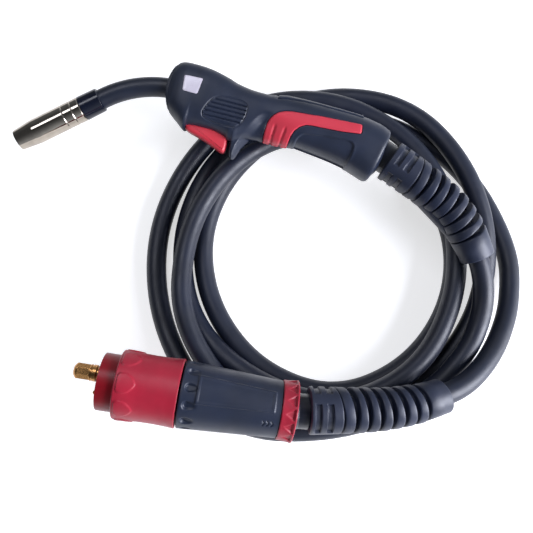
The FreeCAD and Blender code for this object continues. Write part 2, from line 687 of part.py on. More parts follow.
def handle_section(x, low, high, half, growth):
    """Rounded rectangle across the handle."""
    half_y = (high - low) / 2 + growth
    half_z = half + growth
    centre = (high + low) / 2
    corner = SHELL_CORNER * min(half_y, half_z)
    across = half_z - corner
    upright = half_y - corner
    diagonal = corner * math.sqrt(0.5)
    edges = []
    spots = [(upright, across), (-upright, across), (-upright, -across), (upright, -across)]
    signs = [(1, 1), (-1, 1), (-1, -1), (1, -1)]
    for i, ((cy, cz), (sy, sz)) in enumerate(zip(spots, signs)):
        first = V(x, centre + cy + (corner * sy if i % 2 == 0 else 0), cz + (corner * sz if i % 2 else 0))
        last = V(x, centre + cy + (0 if i % 2 == 0 else corner * sy), cz + (0 if i % 2 else corner * sz))
        edges.append(Part.Arc(first, V(x, centre + cy + diagonal * sy, cz + diagonal * sz), last).toShape())
        next_y, next_z = spots[(i + 1) % 4]
        next_sy, next_sz = signs[(i + 1) % 4]
        j = i + 1
        start = V(x, centre + next_y + (corner * next_sy if j % 2 == 0 else 0),
                  next_z + (corner * next_sz if j % 2 else 0))
        edges.append(Part.LineSegment(last, start).toShape())
    return Part.Wire(edges)


def handle_body(growth):
    wires = [handle_section(x, low, high, half, growth) for x, low, high, half in HANDLE_SECTIONS]
    return Part.makeLoft(wires, True, True)


def half_space(side):
    z0, z1 = (GAP / 6, 60) if side > 0 else (-60, -GAP / 6)
    return box(-260, 60, -60, 60, z0, z1)


def seat_cut():
    """Everything that the ball joint needs free inside the handle's rear."""
    seat = Part.makeSphere(seat_radius(), HANDLE_BALL)
    way = rod(HANDLE_BALL.x, 10, NECK_R + NECK_PLAY, HANDLE_BALL.y - 1.4)
    front = rod(HANDLE_BALL.x - 30, HANDLE_BALL.x, 13.0, HANDLE_BALL.y)
    return seat.fuse(way).fuse(front)


def bulkheads(hollow):
    """Cross walls that carry the neck, the block and the conductor."""
    walls = []
    for x0, x1 in BULKHEADS:
        wall = hollow.common(box(x0, x1, -60, 60, -60, 60))
        walls.append(wall)
    walls.append(hollow.common(box(HANDLE_BALL.x - 15, 3.0, -60, 60, -60, 60)))
    return walls


def inner_passages():
    """Room for what passes through the cross walls."""
    neck = rod(-200, BLOCK_X[0], NECK_SLEEVE_R + FIT, NECK_Y)
    block = rod(BLOCK_X[0] - FIT, BLOCK_X[1] + FIT, BLOCK_R + FIT, NECK_Y)
    coupler = rod(COUPLER_X[0] - 1, COUPLER_X[1] + 4, COUPLER_R + FIT, NECK_Y)
    bend = moved(neck_bend(NECK_SLEEVE_R + GAP), HANDLE.inverse())
    conductor = swept(conductor_path(), CORE_OD / 2 + FIT)
    return joined([neck, block, coupler, conductor, bend])


def trigger_room():
    slot = box(-167.4, -126.8, -60, -15.0, -TRIGGER_HALF - GAP, TRIGGER_HALF + GAP)
    switch = box(SWITCH_X[0] - FIT, SWITCH_X[1] + FIT, SWITCH_Y[0] - 5, SWITCH_Y[1] + FIT,
                 -SWITCH_HALF - FIT, SWITCH_HALF + FIT)
    return slot.fuse(switch)


def bosses(hollow):
    """Bosses for the trigger's pin, the switch and the shell screws."""
    pin_x, pin_y = TRIGGER_PIN_AT
    pin_boss = hollow.common(box(pin_x - 4, pin_x + 4, pin_y - 4, pin_y + 4, -60, 60))
    switch_boss = hollow.common(box(SWITCH_X[0] + 4, SWITCH_X[1] - 3, SWITCH_Y[0] + 1, SWITCH_Y[1] - 1, -60, 60))
    posts = []
    for x, y in SHELL_SCREWS:
        posts.append(hollow.common(Part.makeCylinder(3.4, 80, V(x, y, -40))))
    return [pin_boss, switch_boss] + posts


def insert_prism(outline, side):
    shape = slab(outline, 0.6, 60)
    if side < 0:
        shape = shape.mirror(V(0, 0, 0), V(0, 0, 1))
    return shape


def handle_shells():
    outer = handle_body(0)
    hollow = handle_body(-SHELL_WALL)
    guard = slab(GUARD, -GUARD_HALF, GUARD_HALF)
    solid = outer.cut(hollow)
    solid = joined([solid] + bulkheads(hollow) + bosses(hollow))
    solid = solid.fuse(guard.cut(hollow))
    solid = solid.cut(joined([inner_passages(), trigger_room(), seat_cut()]))
    skin = outer.cut(handle_body(-INSERT_DEEP))
    thin = outer.cut(handle_body(-PANEL_DEEP))
    strip = outer.cut(handle_body(-STRIP_PROUD - 0.8)).common(back_strip_room())
    pin_x, pin_y = TRIGGER_PIN_AT
    pin_hole = Part.makeCylinder(TRIGGER_PIN_R + FIT, 2 * TRIGGER_PIN_HALF + 0.2,
                                 V(pin_x, pin_y, -TRIGGER_PIN_HALF - 0.1))
    shells = {}
    for side, name in ((1, "handle_shell_upper"), (-1, "handle_shell_lower")):
        shell = solid.common(half_space(side))
        shell = shell.cut(skin.common(insert_prism(INSERT, side)))
        shell = shell.cut(thin.common(insert_prism(PANEL, side)))
        shell = shell.cut(handle_skin(BADGE_DEEP).common(insert_prism(BADGE, side)))
        shell = shell.cut(skin.common(insert_prism(PAD, side)))
        shell = shell.cut(strip).cut(pin_hole)
        for x, y in SHELL_SCREWS:
            shell = shell.cut(screw_room(x, y))
        shells[name] = shell
    return shells


def handle_skin(depth):
    return handle_body(0.02).cut(handle_body(-depth))


def skin_piece(outline, side, proud, depth):
    """Thin piece that is let into the shell's surface inside an outline."""
    skin = handle_body(proud).cut(handle_body(-depth + FIT))
    return skin.common(insert_prism(outline, side))


def back_strip_room():
    x0, x1 = STRIP_X
    return box(x0, x1, 8, 60, -STRIP_HALF, STRIP_HALF)


def back_strip():
    skin = handle_body(STRIP_PROUD).cut(handle_body(-STRIP_PROUD - 0.8 + FIT))
    return skin.common(back_strip_room())


def front_band():
    """Ring around the handle's mouth."""
    x, low, high, half = HANDLE_SECTIONS[0]
    wires = [handle_section(x - BAND_LEN, low, high, half, -BAND_DROP),
             handle_section(x - BAND_LEN + 1.0, low, high, half, -0.4),
             handle_section(x - FIT, low, high, half, 0.2)]
    body = Part.makeLoft(wires, True, True)
    return body.cut(moved(neck_bend(NECK_SLEEVE_R + FIT), HANDLE.inverse()))


def screw_room(x, y):
    shaft = Part.makeCylinder(SHELL_SCREW_R + FIT, 22, V(x, y, -13.9))
    head = Part.makeCylinder(SHELL_SCREW_HEAD_R + FIT, 40, V(x, y, -54 + 1.0))
    return shaft.fuse(head.common(box(-260, 60, -60, 60, -60, -13.9)))


def shell_screws():
    screws = []
    for x, y in SHELL_SCREWS:
        head = Part.makeCylinder(SHELL_SCREW_HEAD_R, 2.2, V(x, y, -13.9 - 2.2))
        screws.append(head.fuse(Part.makeCylinder(SHELL_SCREW_R, 21.8, V(x, y, -13.9))))
    return Part.makeCompound(screws)


def trigger():
    body = slab(TRIGGER, -TRIGGER_HALF, TRIGGER_HALF)
    edges = [e for e in body.Edges if abs(abs(e.CenterOfMass.z) - TRIGGER_HALF) < 0.01
             and e.CenterOfMass.y < -28.5]
    body = body.makeFillet(1.8, edges)
    pin_x, pin_y = TRIGGER_PIN_AT
    hole = Part.makeCylinder(TRIGGER_PIN_R + RUNNING, 4 * TRIGGER_HALF, V(pin_x, pin_y, -2 * TRIGGER_HALF))
    spring_room = Part.makeCylinder(3.6, 3.8, V(pin_x, pin_y, -1.9))
    leg_room = box(pin_x, pin_x + 8.0, pin_y - 5.4, pin_y - 0.5, -1.9, 1.9)
    return body.cut(hole).cut(spring_room).cut(leg_room)


def trigger_pin():
    pin_x, pin_y = TRIGGER_PIN_AT
    return Part.makeCylinder(TRIGGER_PIN_R, 2 * TRIGGER_PIN_HALF, V(pin_x, pin_y, -TRIGGER_PIN_HALF))


def trigger_spring():
    """Torsion spring round the trigger's pin."""
    pin_x, pin_y = TRIGGER_PIN_AT
    coil = Part.makeCylinder(3.0, 3.2, V(pin_x, pin_y, -1.6)).cut(
        Part.makeCylinder(TRIGGER_PIN_R + RUNNING, 5, V(pin_x, pin_y, -2.5)))
    leg = Part.makeCylinder(0.4, 5.5, V(pin_x + 1.0, pin_y - 2.4, 0), V(1, 0, 0))
    return coil.fuse(leg)


def switch_body():
    body = box(SWITCH_X[0], SWITCH_X[1], SWITCH_Y[0], SWITCH_Y[1], -SWITCH_HALF, SWITCH_HALF)
    return body.cut(Part.makeCylinder(PLUNGER_R + RUNNING, PLUNGER_INSIDE + 3.0,
                                      V(PLUNGER_X, SWITCH_Y[0] - 1, 0), V(0, 1, 0)))


def switch_plunger():
    low = -20.8 + GAP
    return Part.makeCylinder(PLUNGER_R, SWITCH_Y[0] + PLUNGER_INSIDE - low, V(PLUNGER_X, low, 0), V(0, 1, 0))


def neck_path(start_x, end):
    """Straight run in the handle, the bend, and a straight run to a place along the nozzle."""
    angle = math.radians(BEND_ANGLE)
    first = V(start_x, NECK_Y, 0)
    bend = V(BEND_START_X, NECK_Y, 0)
    middle = V(BEND_START_X - BEND_R * math.sin(angle / 2), NECK_Y - BEND_R * (1 - math.cos(angle / 2)), 0)
    out = V(-math.cos(angle), -math.sin(angle), 0)
    return [Part.LineSegment(first, bend).toShape(), Part.Arc(bend, middle, BEND_END).toShape(),
            Part.LineSegment(BEND_END, BEND_END + out * end).toShape()]


def neck_bend(radius):
    return moved(swept(neck_path(BEND_START_X + 2, 1.0), radius), HANDLE)


def swan_neck_tube():
    outer = swept(neck_path(NECK_START_X - 10, NECK_TUBE_END), NECK_TUBE_R)
    return outer.cut(swept(neck_path(NECK_START_X, NECK_TUBE_END + 1), NECK_BORE_R))


def swan_neck_sleeve():
    outer = swept(neck_path(BLOCK_X[0] - FIT, NECK_SLEEVE_END), NECK_SLEEVE_R)
    return outer.cut(swept(neck_path(BLOCK_X[0] + 5, NECK_SLEEVE_END + 1), NECK_TUBE_R + FIT))


def wire_liner():
    outer = swept(neck_path(NECK_START_X + 30, NECK_TUBE_END - 1), LINER_R)
    return outer.cut(swept(neck_path(NECK_START_X + 31, NECK_TUBE_END), WIRE_WAY_R))


def neck_block():
    body = rod(BLOCK_X[0], BLOCK_X[1], BLOCK_R, NECK_Y)
    body = body.cut(rod(BLOCK_X[0] - 1, NECK_START_X - 10 + FIT, NECK_TUBE_R + FIT, NECK_Y))
    return body.cut(rod(BLOCK_X[0], BLOCK_X[1] + 1, LINER_R + FIT, NECK_Y))


def cable_coupler():
    body = hexagon(COUPLER_X[0] + FIT, COUPLER_X[1], 2 * COUPLER_R * 0.86)
    body = moved(body, Placed(V(0, NECK_Y, 0), Turn()))
    return body.cut(rod(COUPLER_X[0] - 1, NECK_START_X + 31, LINER_R + FIT, NECK_Y))


def conductor_path():
    """The conductor's way from the coupler to the ball joint."""
    first = V(COUPLER_X[1] + FIT, NECK_Y, 0)
    last = V(HANDLE_BALL.x, HANDLE_BALL.y, 0)
    bend_in = V(first.x + 30, NECK_Y, 0)
    bend_out = V(last.x - 26, last.y, 0)
    return path_edges([first, bend_in, bend_out, last])


def handle_conductor():
    core = swept(conductor_path(), CORE_OD / 2)
    return core.cut(Part.makeSphere(CORE_BALL_R + GAP, HANDLE_BALL))


# Front end pieces, x along the nozzle from the end of the neck's bend

def neck_end_ring():
    u0, u1 = END_RING_U
    r0, r1 = END_RING_R
    return turned([(u0, NECK_SLEEVE_R + FIT), (u0, r0 - 0.8), (u0 + 0.8, r0), (u1, r1), (u1, NECK_TUBE_R + FIT),
                   (NECK_SLEEVE_END + FIT, NECK_TUBE_R + FIT), (NECK_SLEEVE_END + FIT, NECK_SLEEVE_R + FIT)])


def gas_nozzle():
    u0, u1 = NOZZLE_U
    bore = NOZZLE_R - NOZZLE_WALL
    depth = NOZZLE_GROOVE[1]
    outer = [(u0, NOZZLE_R - 0.6), (u0 + 0.8, NOZZLE_R)]
    for u in NOZZLE_GROOVES:
        half = NOZZLE_GROOVE[0] / 2
        outer += [(u - half, NOZZLE_R), (u, NOZZLE_R - depth), (u + half, NOZZLE_R)]
    outer += [(NOZZLE_TAPER_U, NOZZLE_R), (u1, NOZZLE_TIP_R)]
    inner = [(u1, NOZZLE_TIP_R - NOZZLE_WALL), (NOZZLE_TAPER_U, bore), (u0, bore)]
    return turned(outer + inner)


def nozzle_split_ring():
    """Spring ring on the neck end that grips the nozzle's bore."""
    u0, u1 = SPLIT_RING_U
    body = ring(u0, u1, NOZZLE_R - NOZZLE_WALL - RUNNING, NECK_TUBE_R + FIT)
    return body.cut(box(u0 - 1, u1 + 1, -1, 1, 0, 20))


def gas_diffuser():
    u0, u1 = DIFFUSER_U
    body = turned([(u0, HOLDER_R + FIT), (u0, DIFFUSER_R), (u1 - 1.5, DIFFUSER_R), (u1, DIFFUSER_R - 1.5),
                   (u1, HOLDER_R + FIT)])
    holes = []
    for i in range(8):
        hole = Part.makeCylinder(1.2, 20, V(u1 - 6, 0, 0), V(0, 0, 1))
        holes.append(moved(hole, Placed(V(0, 0, 0), Turn(V(1, 0, 0), 45 * i))))
    return body.cut(joined(holes))


def tip_holder():
    u0, u1 = HOLDER_U
    body = rod(u0, u1, HOLDER_R).cut(rod(u0 - 1, u1 + 1, WIRE_WAY_R))
    return body.cut(rod(TIP_U[0], u1 + 1, HOLDER_THREAD_R + FIT))


def contact_tip():
    u0, u1 = TIP_U
    seat = HOLDER_U[1]
    body = turned([(u0 + FIT, 0), (u0 + FIT, HOLDER_THREAD_R), (seat + FIT, HOLDER_THREAD_R), (seat + FIT, TIP_R),
                   (u1 - 5, TIP_R), (u1, TIP_R - 1.2), (u1, 0)])
    return body.cut(rod(u0 - 1, u1 + 1, WIRE_R))


def make_nodes():
    handle_edges = path_edges(handle_lead(), "handle lead")
    connector_edges = path_edges(connector_lead(), "connector lead")
    nodes = {}
    nodes["cable_handle_lead"] = swept(trimmed_edges(handle_edges, BALL_HOLLOW_R + 2, 1e4), CABLE_OD / 2)
    nodes["cable_connector_lead"] = swept(trimmed_edges(connector_edges, BALL_HOLLOW_R + 2, 1e4), CABLE_OD / 2)
    nodes["cable_coil"] = cable_coil()
    nodes["handle_boot"] = boot(handle_edges, HANDLE_BOOT)
    nodes["connector_boot"] = boot(connector_edges, CONNECTOR_BOOT)
    for name, edges, size in (("handle", handle_edges, HANDLE_BOOT), ("connector", connector_edges, CONNECTOR_BOOT)):
        frame = to_cable_frame(edges)
        nodes[name + "_ball"] = moved(knuckle_ball(size), frame)
        nodes[name + "_ball_cup"] = moved(knuckle_cup(), frame)
        nodes[name + "_cable_core"] = moved(cable_end_core(), frame)

    in_connector = {
        "plug_insulator": plug_insulator(), "plug_body": plug_body(), "gas_spigot": gas_spigot(),
        "spigot_o_ring": spigot_o_ring(), "liner_nut": liner_nut(), "contact_pin_a": contact_pin(1),
        "contact_pin_b": contact_pin(-1), "contact_sleeves": contact_sleeves(), "pin_springs": pin_springs(),
        "collar_nut": collar_nut(), "retaining_clip": retaining_clip(), "connector_barrel": connector_barrel(),
        "barrel_panel": barrel_panel(), "barrel_screws": barrel_screws(), "rear_ring": rear_ring(),
        "rear_crimp": rear_crimp(), "connector_conductor": connector_conductor()}
    for name, shape in in_connector.items():
        nodes[name] = moved(shape, CONNECTOR)

    in_handle = handle_shells()
    in_handle.update({
        "front_band": front_band(), "grip_insert_upper": skin_piece(INSERT, 1, INSERT_PROUD, INSERT_DEEP),
        "grip_insert_lower": skin_piece(INSERT, -1, INSERT_PROUD, INSERT_DEEP),
        "side_pad_upper": skin_piece(PAD, 1, 0.3, INSERT_DEEP),
        "side_pad_lower": skin_piece(PAD, -1, 0.3, INSERT_DEEP),
        "badge_plate_upper": skin_piece(BADGE, 1, BADGE_PROUD, BADGE_DEEP),
        "badge_plate_lower": skin_piece(BADGE, -1, BADGE_PROUD, BADGE_DEEP),
        "back_strip": back_strip(), "shell_screws": shell_screws(), "trigger": trigger(),
        "trigger_pin": trigger_pin(), "trigger_spring": trigger_spring(), "switch_body": switch_body(),
        "switch_plunger": switch_plunger(), "swan_neck_tube": swan_neck_tube(),
        "swan_neck_sleeve": swan_neck_sleeve(), "wire_liner": wire_liner(), "neck_block": neck_block(),
        "cable_coupler": cable_coupler(), "handle_conductor": handle_conductor()})
    for name, shape in in_handle.items():
        nodes[name] = moved(shape, HANDLE)

    on_nozzle = {
        "neck_end_ring": neck_end_ring(), "gas_nozzle": gas_nozzle(), "nozzle_split_ring": nozzle_split_ring(),
        "gas_diffuser": gas_diffuser(), "tip_holder": tip_holder(), "contact_tip": contact_tip()}
    for name, shape in on_nozzle.items():
        nodes[name] = moved(shape, NOZZLE)
    return nodes


os.makedirs("parts", exist_ok=True)
for node, shape in make_nodes().items():
    shape.exportStep("parts/" + node + ".step")
    print(node, "valid" if shape.isValid() else "NOT VALID", "solids", len(shape.Solids),
          "volume", round(shape.Volume))
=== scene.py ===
import math
import bmesh
import bpy
import numpy as np
from mathutils import Matrix, Vector
from mathutils.geometry import delaunay_2d_cdt


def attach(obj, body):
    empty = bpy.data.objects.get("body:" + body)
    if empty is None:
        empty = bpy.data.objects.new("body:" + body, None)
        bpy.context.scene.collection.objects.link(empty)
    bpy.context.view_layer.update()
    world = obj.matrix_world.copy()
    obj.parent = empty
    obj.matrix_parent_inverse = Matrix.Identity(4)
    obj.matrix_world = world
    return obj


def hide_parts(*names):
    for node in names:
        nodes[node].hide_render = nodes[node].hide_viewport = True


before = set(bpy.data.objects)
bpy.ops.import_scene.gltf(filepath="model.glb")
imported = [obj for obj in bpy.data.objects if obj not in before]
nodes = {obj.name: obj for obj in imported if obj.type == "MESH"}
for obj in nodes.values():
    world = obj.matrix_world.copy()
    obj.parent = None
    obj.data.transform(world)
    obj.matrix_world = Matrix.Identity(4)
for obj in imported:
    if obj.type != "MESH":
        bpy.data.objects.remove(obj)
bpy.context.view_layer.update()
MM = 0.001
FLOOR_Z = -64.0

# Camera, where the photograph was taken from: its place is in metres, and the lens follows from pixels
CAMERA_PLACE = (0.1057, -0.0155, 0.461)
CAMERA_TILT = math.radians(13.0)
CAMERA_YAW = math.radians(2.5)
FOCAL_LENGTH_PX = 586.0
PHOTO_WIDTH_PX = 533.0
SENSOR_WIDTH = 36.0


def link(made):
    bpy.context.collection.objects.link(made)
    return made


def make_camera():
    level = math.cos(CAMERA_TILT)
    forward = Vector((math.sin(CAMERA_YAW) * level, math.sin(CAMERA_TILT), -level * math.cos(CAMERA_YAW)))
    forward.normalize()
    right = forward.cross(Vector((0, 1, 0))).normalized()
    up = right.cross(forward)
    camera = link(bpy.data.objects.new("camera", bpy.data.cameras.new("camera")))
    camera.data.sensor_width = SENSOR_WIDTH
    camera.data.lens = FOCAL_LENGTH_PX / PHOTO_WIDTH_PX * SENSOR_WIDTH
    turned = Matrix((right, up, -forward)).transposed().to_4x4()
    camera.matrix_world = Matrix.Translation(CAMERA_PLACE) @ turned
    bpy.context.scene.camera = camera


make_camera()


# Frames of the two ends, as in the part's source, in millimetres and degrees
def turn(axis, degrees):
    return Matrix.Rotation(math.radians(degrees), 4, axis)


CONNECTOR = turn("Z", -8.8) @ turn("Y", 2.0)
HANDLE = Matrix.Translation((222.8, 189.9, -6.0)) @ turn("Z", -17.0) @ turn("Y", 2.5) @ turn("X", 15.0)
HANDLE_BALL = Vector((-10.0, 6.0, 0.0))
CONNECTOR_BALL = Vector((141.7, 0.0, 0.0))

# The cable's route, as in the part's source. The two leads are (x, y, height above the floor), and a turn of
# the coil is (radius, height above the floor) at every 30 degrees, clockwise
CABLE_OD = 17.5
LOW = CABLE_OD / 2 + 0.05
COIL_CENTRE = (186.5, 124.6)
COIL_START = 330
COIL_STEP = 30
HANDLE_LEAD = [(269.3, 161.3, 57.5), (292.0, 136.3, 54.5), (308.8, 102.6, 47.0), (313.6, 79.6, 40.5),
               (310.9, 54.4, 35.0), (298.4, 25.0, 29.0)]
CONNECTOR_LEAD = [(201.7, -22.5, 57.0), (236.5, -19.0, 54.5), (266.9, -11.4, 51.0), (289.0, -1.9, 46.5),
                  (310.3, 15.4, 37.5), (330.3, 39.4, 25.5), (347.3, 73.2, 14.5)]
TURN_1 = [(139, 27), (150, 27), (159, 30), (180, 24), (166, LOW), (156, LOW),
          (150, LOW), (146, 26.5), (133, 28), (121, 27), (113, 27), (109, 27)]
TURN_2 = [(116, 27), (131, 27), (141, 26), (138.5, 24), (140, LOW), (133, LOW),
          (131, LOW), (134, LOW), (148, LOW), (149, 24), (140, 28.5), (141, 19)]
TURN_3 = [(143, LOW), (144, LOW), (150, LOW), (160, 21), (148, 33), (127, 28),
          (114, 28), (107, 28), (106, 12), (107, LOW), (110, LOW), (113.5, LOW)]
TURN_4 = [(118, LOW), (125, LOW), (133, LOW), (127, LOW), (119.5, LOW), (115, LOW),
          (112.5, LOW), (115.5, LOW), (128, LOW), (134, LOW), (147.5, LOW), (161, LOW)]


def above_floor(x, y, height):
    return Vector((x, y, height + FLOOR_Z))


def coil_points():
    """Corners just outside the turns, so that the smooth curve between them lies on each turn's radius."""
    reach = 1 / math.cos(math.radians(COIL_STEP / 2))
    points = []
    for one in (TURN_1, TURN_2, TURN_3, TURN_4):
        for step, (radius, height) in enumerate(one):
            angle = math.radians(COIL_START - COIL_STEP * step)
            points.append(above_floor(COIL_CENTRE[0] + radius * reach * math.cos(angle),
                                      COIL_CENTRE[1] + radius * reach * math.sin(angle), height))
    return points[1:]


def cable_route():
    start = [HANDLE @ HANDLE_BALL] + [above_floor(*p) for p in HANDLE_LEAD]
    end = [above_floor(*p) for p in reversed(CONNECTOR_LEAD)] + [CONNECTOR @ CONNECTOR_BALL]
    return start + coil_points() + end


def nurbs(name, points, radius):
    curve = bpy.data.curves.new(name, "CURVE")
    curve.dimensions = "3D"
    spline = curve.splines.new("NURBS")
    spline.points.add(len(points) - 1)
    for slot, point in zip(spline.points, points):
        slot.co = (point.x * MM, point.y * MM, point.z * MM, 1.0)
    spline.order_u = 3
    spline.use_endpoint_u = True
    spline.resolution_u = 12
    curve.bevel_depth = radius * MM
    curve.bevel_resolution = 8
    curve.use_fill_caps = True
    return link(bpy.data.objects.new(name, curve))


def centre_line(made):
    """Points along the curve, and its length, both in metres."""
    depth = made.data.bevel_depth
    made.data.bevel_depth = 0.0
    made.data.use_fill_caps = False
    line = bpy.data.meshes.new_from_object(made)
    made.data.bevel_depth = depth
    made.data.use_fill_caps = True
    points = [v.co.copy() for v in line.vertices]
    bpy.data.meshes.remove(line)
    return points, sum((b - a).length for a, b in zip(points, points[1:]))


cable = nurbs("cable", cable_route(), CABLE_OD / 2)
cable_line, cable_length = centre_line(cable)


# Materials: every pattern is on Object coordinates, which are metres of the real object
def colour(text, share=1.0):
    """Linear colour of an sRGB hex value, made darker or lighter by share."""
    def linear(value):
        value = value * share
        return value / 12.92 if value <= 0.04045 else ((value + 0.055) / 1.055) ** 2.4
    return tuple(linear(int(text[i:i + 2], 16) / 255) for i in (0, 2, 4)) + (1.0,)


def add(tree, kind, inputs=None, **settings):
    """A node with its settings, and each input set to a value or linked to a socket."""
    made = tree.nodes.new(kind)
    for key, value in settings.items():
        setattr(made, key, value)
    for key, value in (inputs or {}).items():
        if isinstance(value, bpy.types.NodeSocket):
            tree.links.new(value, made.inputs[key])
        else:
            made.inputs[key].default_value = value
    return made


def start_material(name):
    """A new material, its tree, its shader and the coordinates of its patterns."""
    made = bpy.data.materials.new(name)
    made.use_nodes = True
    tree = made.node_tree
    where = add(tree, "ShaderNodeTexCoord").outputs["Object"]
    return made, tree, tree.nodes["Principled BSDF"], where


def noise_at(tree, where, size_mm, detail=3.0, roughness=0.55):
    """Noise whose largest blobs are about size_mm across."""
    return add(tree, "ShaderNodeTexNoise", {"Vector": where, "Scale": 1 / MM / size_mm / 2, "Detail": detail,
                                            "Roughness": roughness}).outputs["Fac"]


def ranged(tree, value, low, high, to_low, to_high):
    return add(tree, "ShaderNodeMapRange", {"Value": value, "From Min": low, "From Max": high,
                                            "To Min": to_low, "To Max": to_high}).outputs[0]


def clouded(tree, where, tone, variation, size_mm, detail=3.0):
    """The tone, a little darker and lighter in clouds of size_mm."""
    ramp = add(tree, "ShaderNodeValToRGB", {"Fac": noise_at(tree, where, size_mm, detail)})
    for stop, position, share in zip(ramp.color_ramp.elements, (0.35, 0.65), (1 - variation, 1 + variation)):
        stop.position = position
        stop.color = colour(tone, share)
    return ramp.outputs["Color"]


def spotted(tree, base, share, tone):
    """The base with a second tone laid over it by share."""
    mixed = add(tree, "ShaderNodeMix", {"Factor": share}, data_type="RGBA")
    tree.links.new(base, mixed.inputs[6])
    mixed.inputs[7].default_value = colour(tone)
    return mixed.outputs[2]


def connect(tree, shader, base, rough, relief, depth, round_mm):
    """Colour, roughness and a relief on edges that look rounded by round_mm."""
    soft = add(tree, "ShaderNodeBevel", {"Radius": round_mm * MM}, samples=6)
    bump = add(tree, "ShaderNodeBump", {"Height": relief, "Distance": depth, "Strength": 1.0,
                                        "Normal": soft.outputs[0]})
    tree.links.new(base, shader.inputs["Base Color"])
    tree.links.new(rough, shader.inputs["Roughness"])
    tree.links.new(bump.outputs[0], shader.inputs["Normal"])


def moulded(name, tone, roughness, grain_mm=0.5, grain=0.00004, round_mm=0.4, variation=0.08, scuffs=0.0,
            coat=0.0, specular=0.5):
    """Moulded plastic or rubber: a fine grain, uneven gloss, faint clouds and, where asked, pale scuffs.

    A real grain is finer than the render can show, so grain_mm is as coarse as it needs to show."""
    made, tree, shader, where = start_material(name)
    base = clouded(tree, where, tone, variation, 14.0)
    rough = ranged(tree, noise_at(tree, where, 6.0, 4.0), 0.3, 0.7, roughness - 0.05, roughness + 0.06)
    if scuffs:
        marks = ranged(tree, noise_at(tree, where, 2.6, 6.0, 0.75), 0.66, 0.74, 0.0, scuffs)
        base = spotted(tree, base, marks, "7d8494")
    connect(tree, shader, base, rough, noise_at(tree, where, grain_mm, 2.0), grain, round_mm)
    shader.inputs["Coat Weight"].default_value = coat
    shader.inputs["Coat Roughness"].default_value = 0.12
    shader.inputs["Specular IOR Level"].default_value = specular
    return made


def metal(name, tone, roughness, streak_mm=0.5, variation=0.08, stains=None):
    """Turned or plated metal: tool marks in the roughness and relief, and where asked, darker stains."""
    made, tree, shader, where = start_material(name)
    marks = noise_at(tree, where, streak_mm, 4.0, 0.6)
    base = clouded(tree, where, tone, variation, 5.0, 4.0)
    if stains:
        spots = ranged(tree, noise_at(tree, where, 2.2, 5.0, 0.7), 0.52, 0.7, 0.0, 0.45)
        base = spotted(tree, base, spots, stains)
    rough = ranged(tree, marks, 0.3, 0.7, roughness * 0.8, roughness * 1.25)
    connect(tree, shader, base, rough, marks, 0.000004, 0.2)
    shader.inputs["Metallic"].default_value = 1.0
    return made


# PVC-rubber cable jacket, extruded: satin, almost black with a blue tint
CABLE = moulded("extruded_cable_jacket", "121828", 0.46, grain_mm=1.2, grain=0.00002, round_mm=0.1,
                scuffs=0.03)
# Boots, moulded thermoplastic rubber: a little greyer and duller than the cable
BOOT = moulded("moulded_boot_rubber", "1a2134", 0.46, grain_mm=0.6, grain=0.00003, round_mm=0.5, scuffs=0.05)
# Handle and barrel, glass-filled nylon with a fine spark-eroded grain: even and satin
NYLON = moulded("grained_black_nylon", "182032", 0.45, grain_mm=0.35, grain=0.00005, round_mm=0.5,
                scuffs=0.03)
# Knuckle balls and cups, smooth black nylon: a tighter shine than the handle
KNUCKLE = moulded("smooth_black_nylon", "0d1220", 0.34, round_mm=0.3)
# Grip insert, soft-touch thermoplastic elastomer: matt, strong red
SOFT_RED = moulded("soft_touch_red", "bf2f40", 0.5, grain_mm=0.4, grain=0.00004, round_mm=0.5, variation=0.03)
# Trigger and plunger, moulded red nylon: a wide soft shine along the rounded edges
TRIGGER_RED = moulded("moulded_trigger_red", "bd2d3b", 0.42, round_mm=0.7, variation=0.03)
# Collar nut and rear ring, moulded red nylon with a faint grain: deeper than the grip's red
COLLAR_RED = moulded("moulded_collar_red", "9f1a30", 0.42, grain_mm=0.5, grain=0.00003, round_mm=0.4,
                     variation=0.04)
# Plug insulator, dark red thermoset with a turned gloss
PLUG_RED = moulded("glossy_dark_red", "84101c", 0.32, round_mm=0.3, variation=0.05, specular=0.3)
# Badge plate, white enamelled sheet, blank: smooth under a thin clear coat
BADGE = moulded("white_enamel_plate", "c2bcc8", 0.25, grain=0.000004, round_mm=0.2, variation=0.01, coat=0.3)
# Neck end ring, semi-gloss black sleeve: a sharp highlight
GLOSS_BLACK = moulded("semi_gloss_black_sleeve", "0c1120", 0.16, grain=0.00001, round_mm=0.3)
# Neck sleeve, black rubber hose over the swan neck: satin
NECK_SLEEVE = moulded("neck_rubber_sleeve", "131a2a", 0.42, round_mm=0.3)
# Gas diffuser, off-white glass-filled insulator: dull
DIFFUSER = moulded("white_insulator", "d9d4c6", 0.6, variation=0.04)
# Nozzle, copper alloy with bright nickel-chrome plating: mirrors its surroundings, faintly warm
CHROME = metal("bright_plated_nozzle", "b0a79b", 0.1, variation=0.05)
# Spigot and liner nut, turned brass: tool marks, and brown tarnish in spots
BRASS = metal("turned_brass", "b98a56", 0.26, streak_mm=0.4, stains="7a5530")
# Contact tip and conductors, drawn copper: warm and spotted
COPPER = metal("drawn_copper", "c07a56", 0.3, stains="7a4a34")
# Screws, springs and liner, plain steel: grey and satin
STEEL = metal("plain_steel", "a6a8ad", 0.3)
# Retaining clip, spring steel with a phosphate black: dull and dark
BLACK_STEEL = metal("phosphated_spring_steel", "15161a", 0.5)

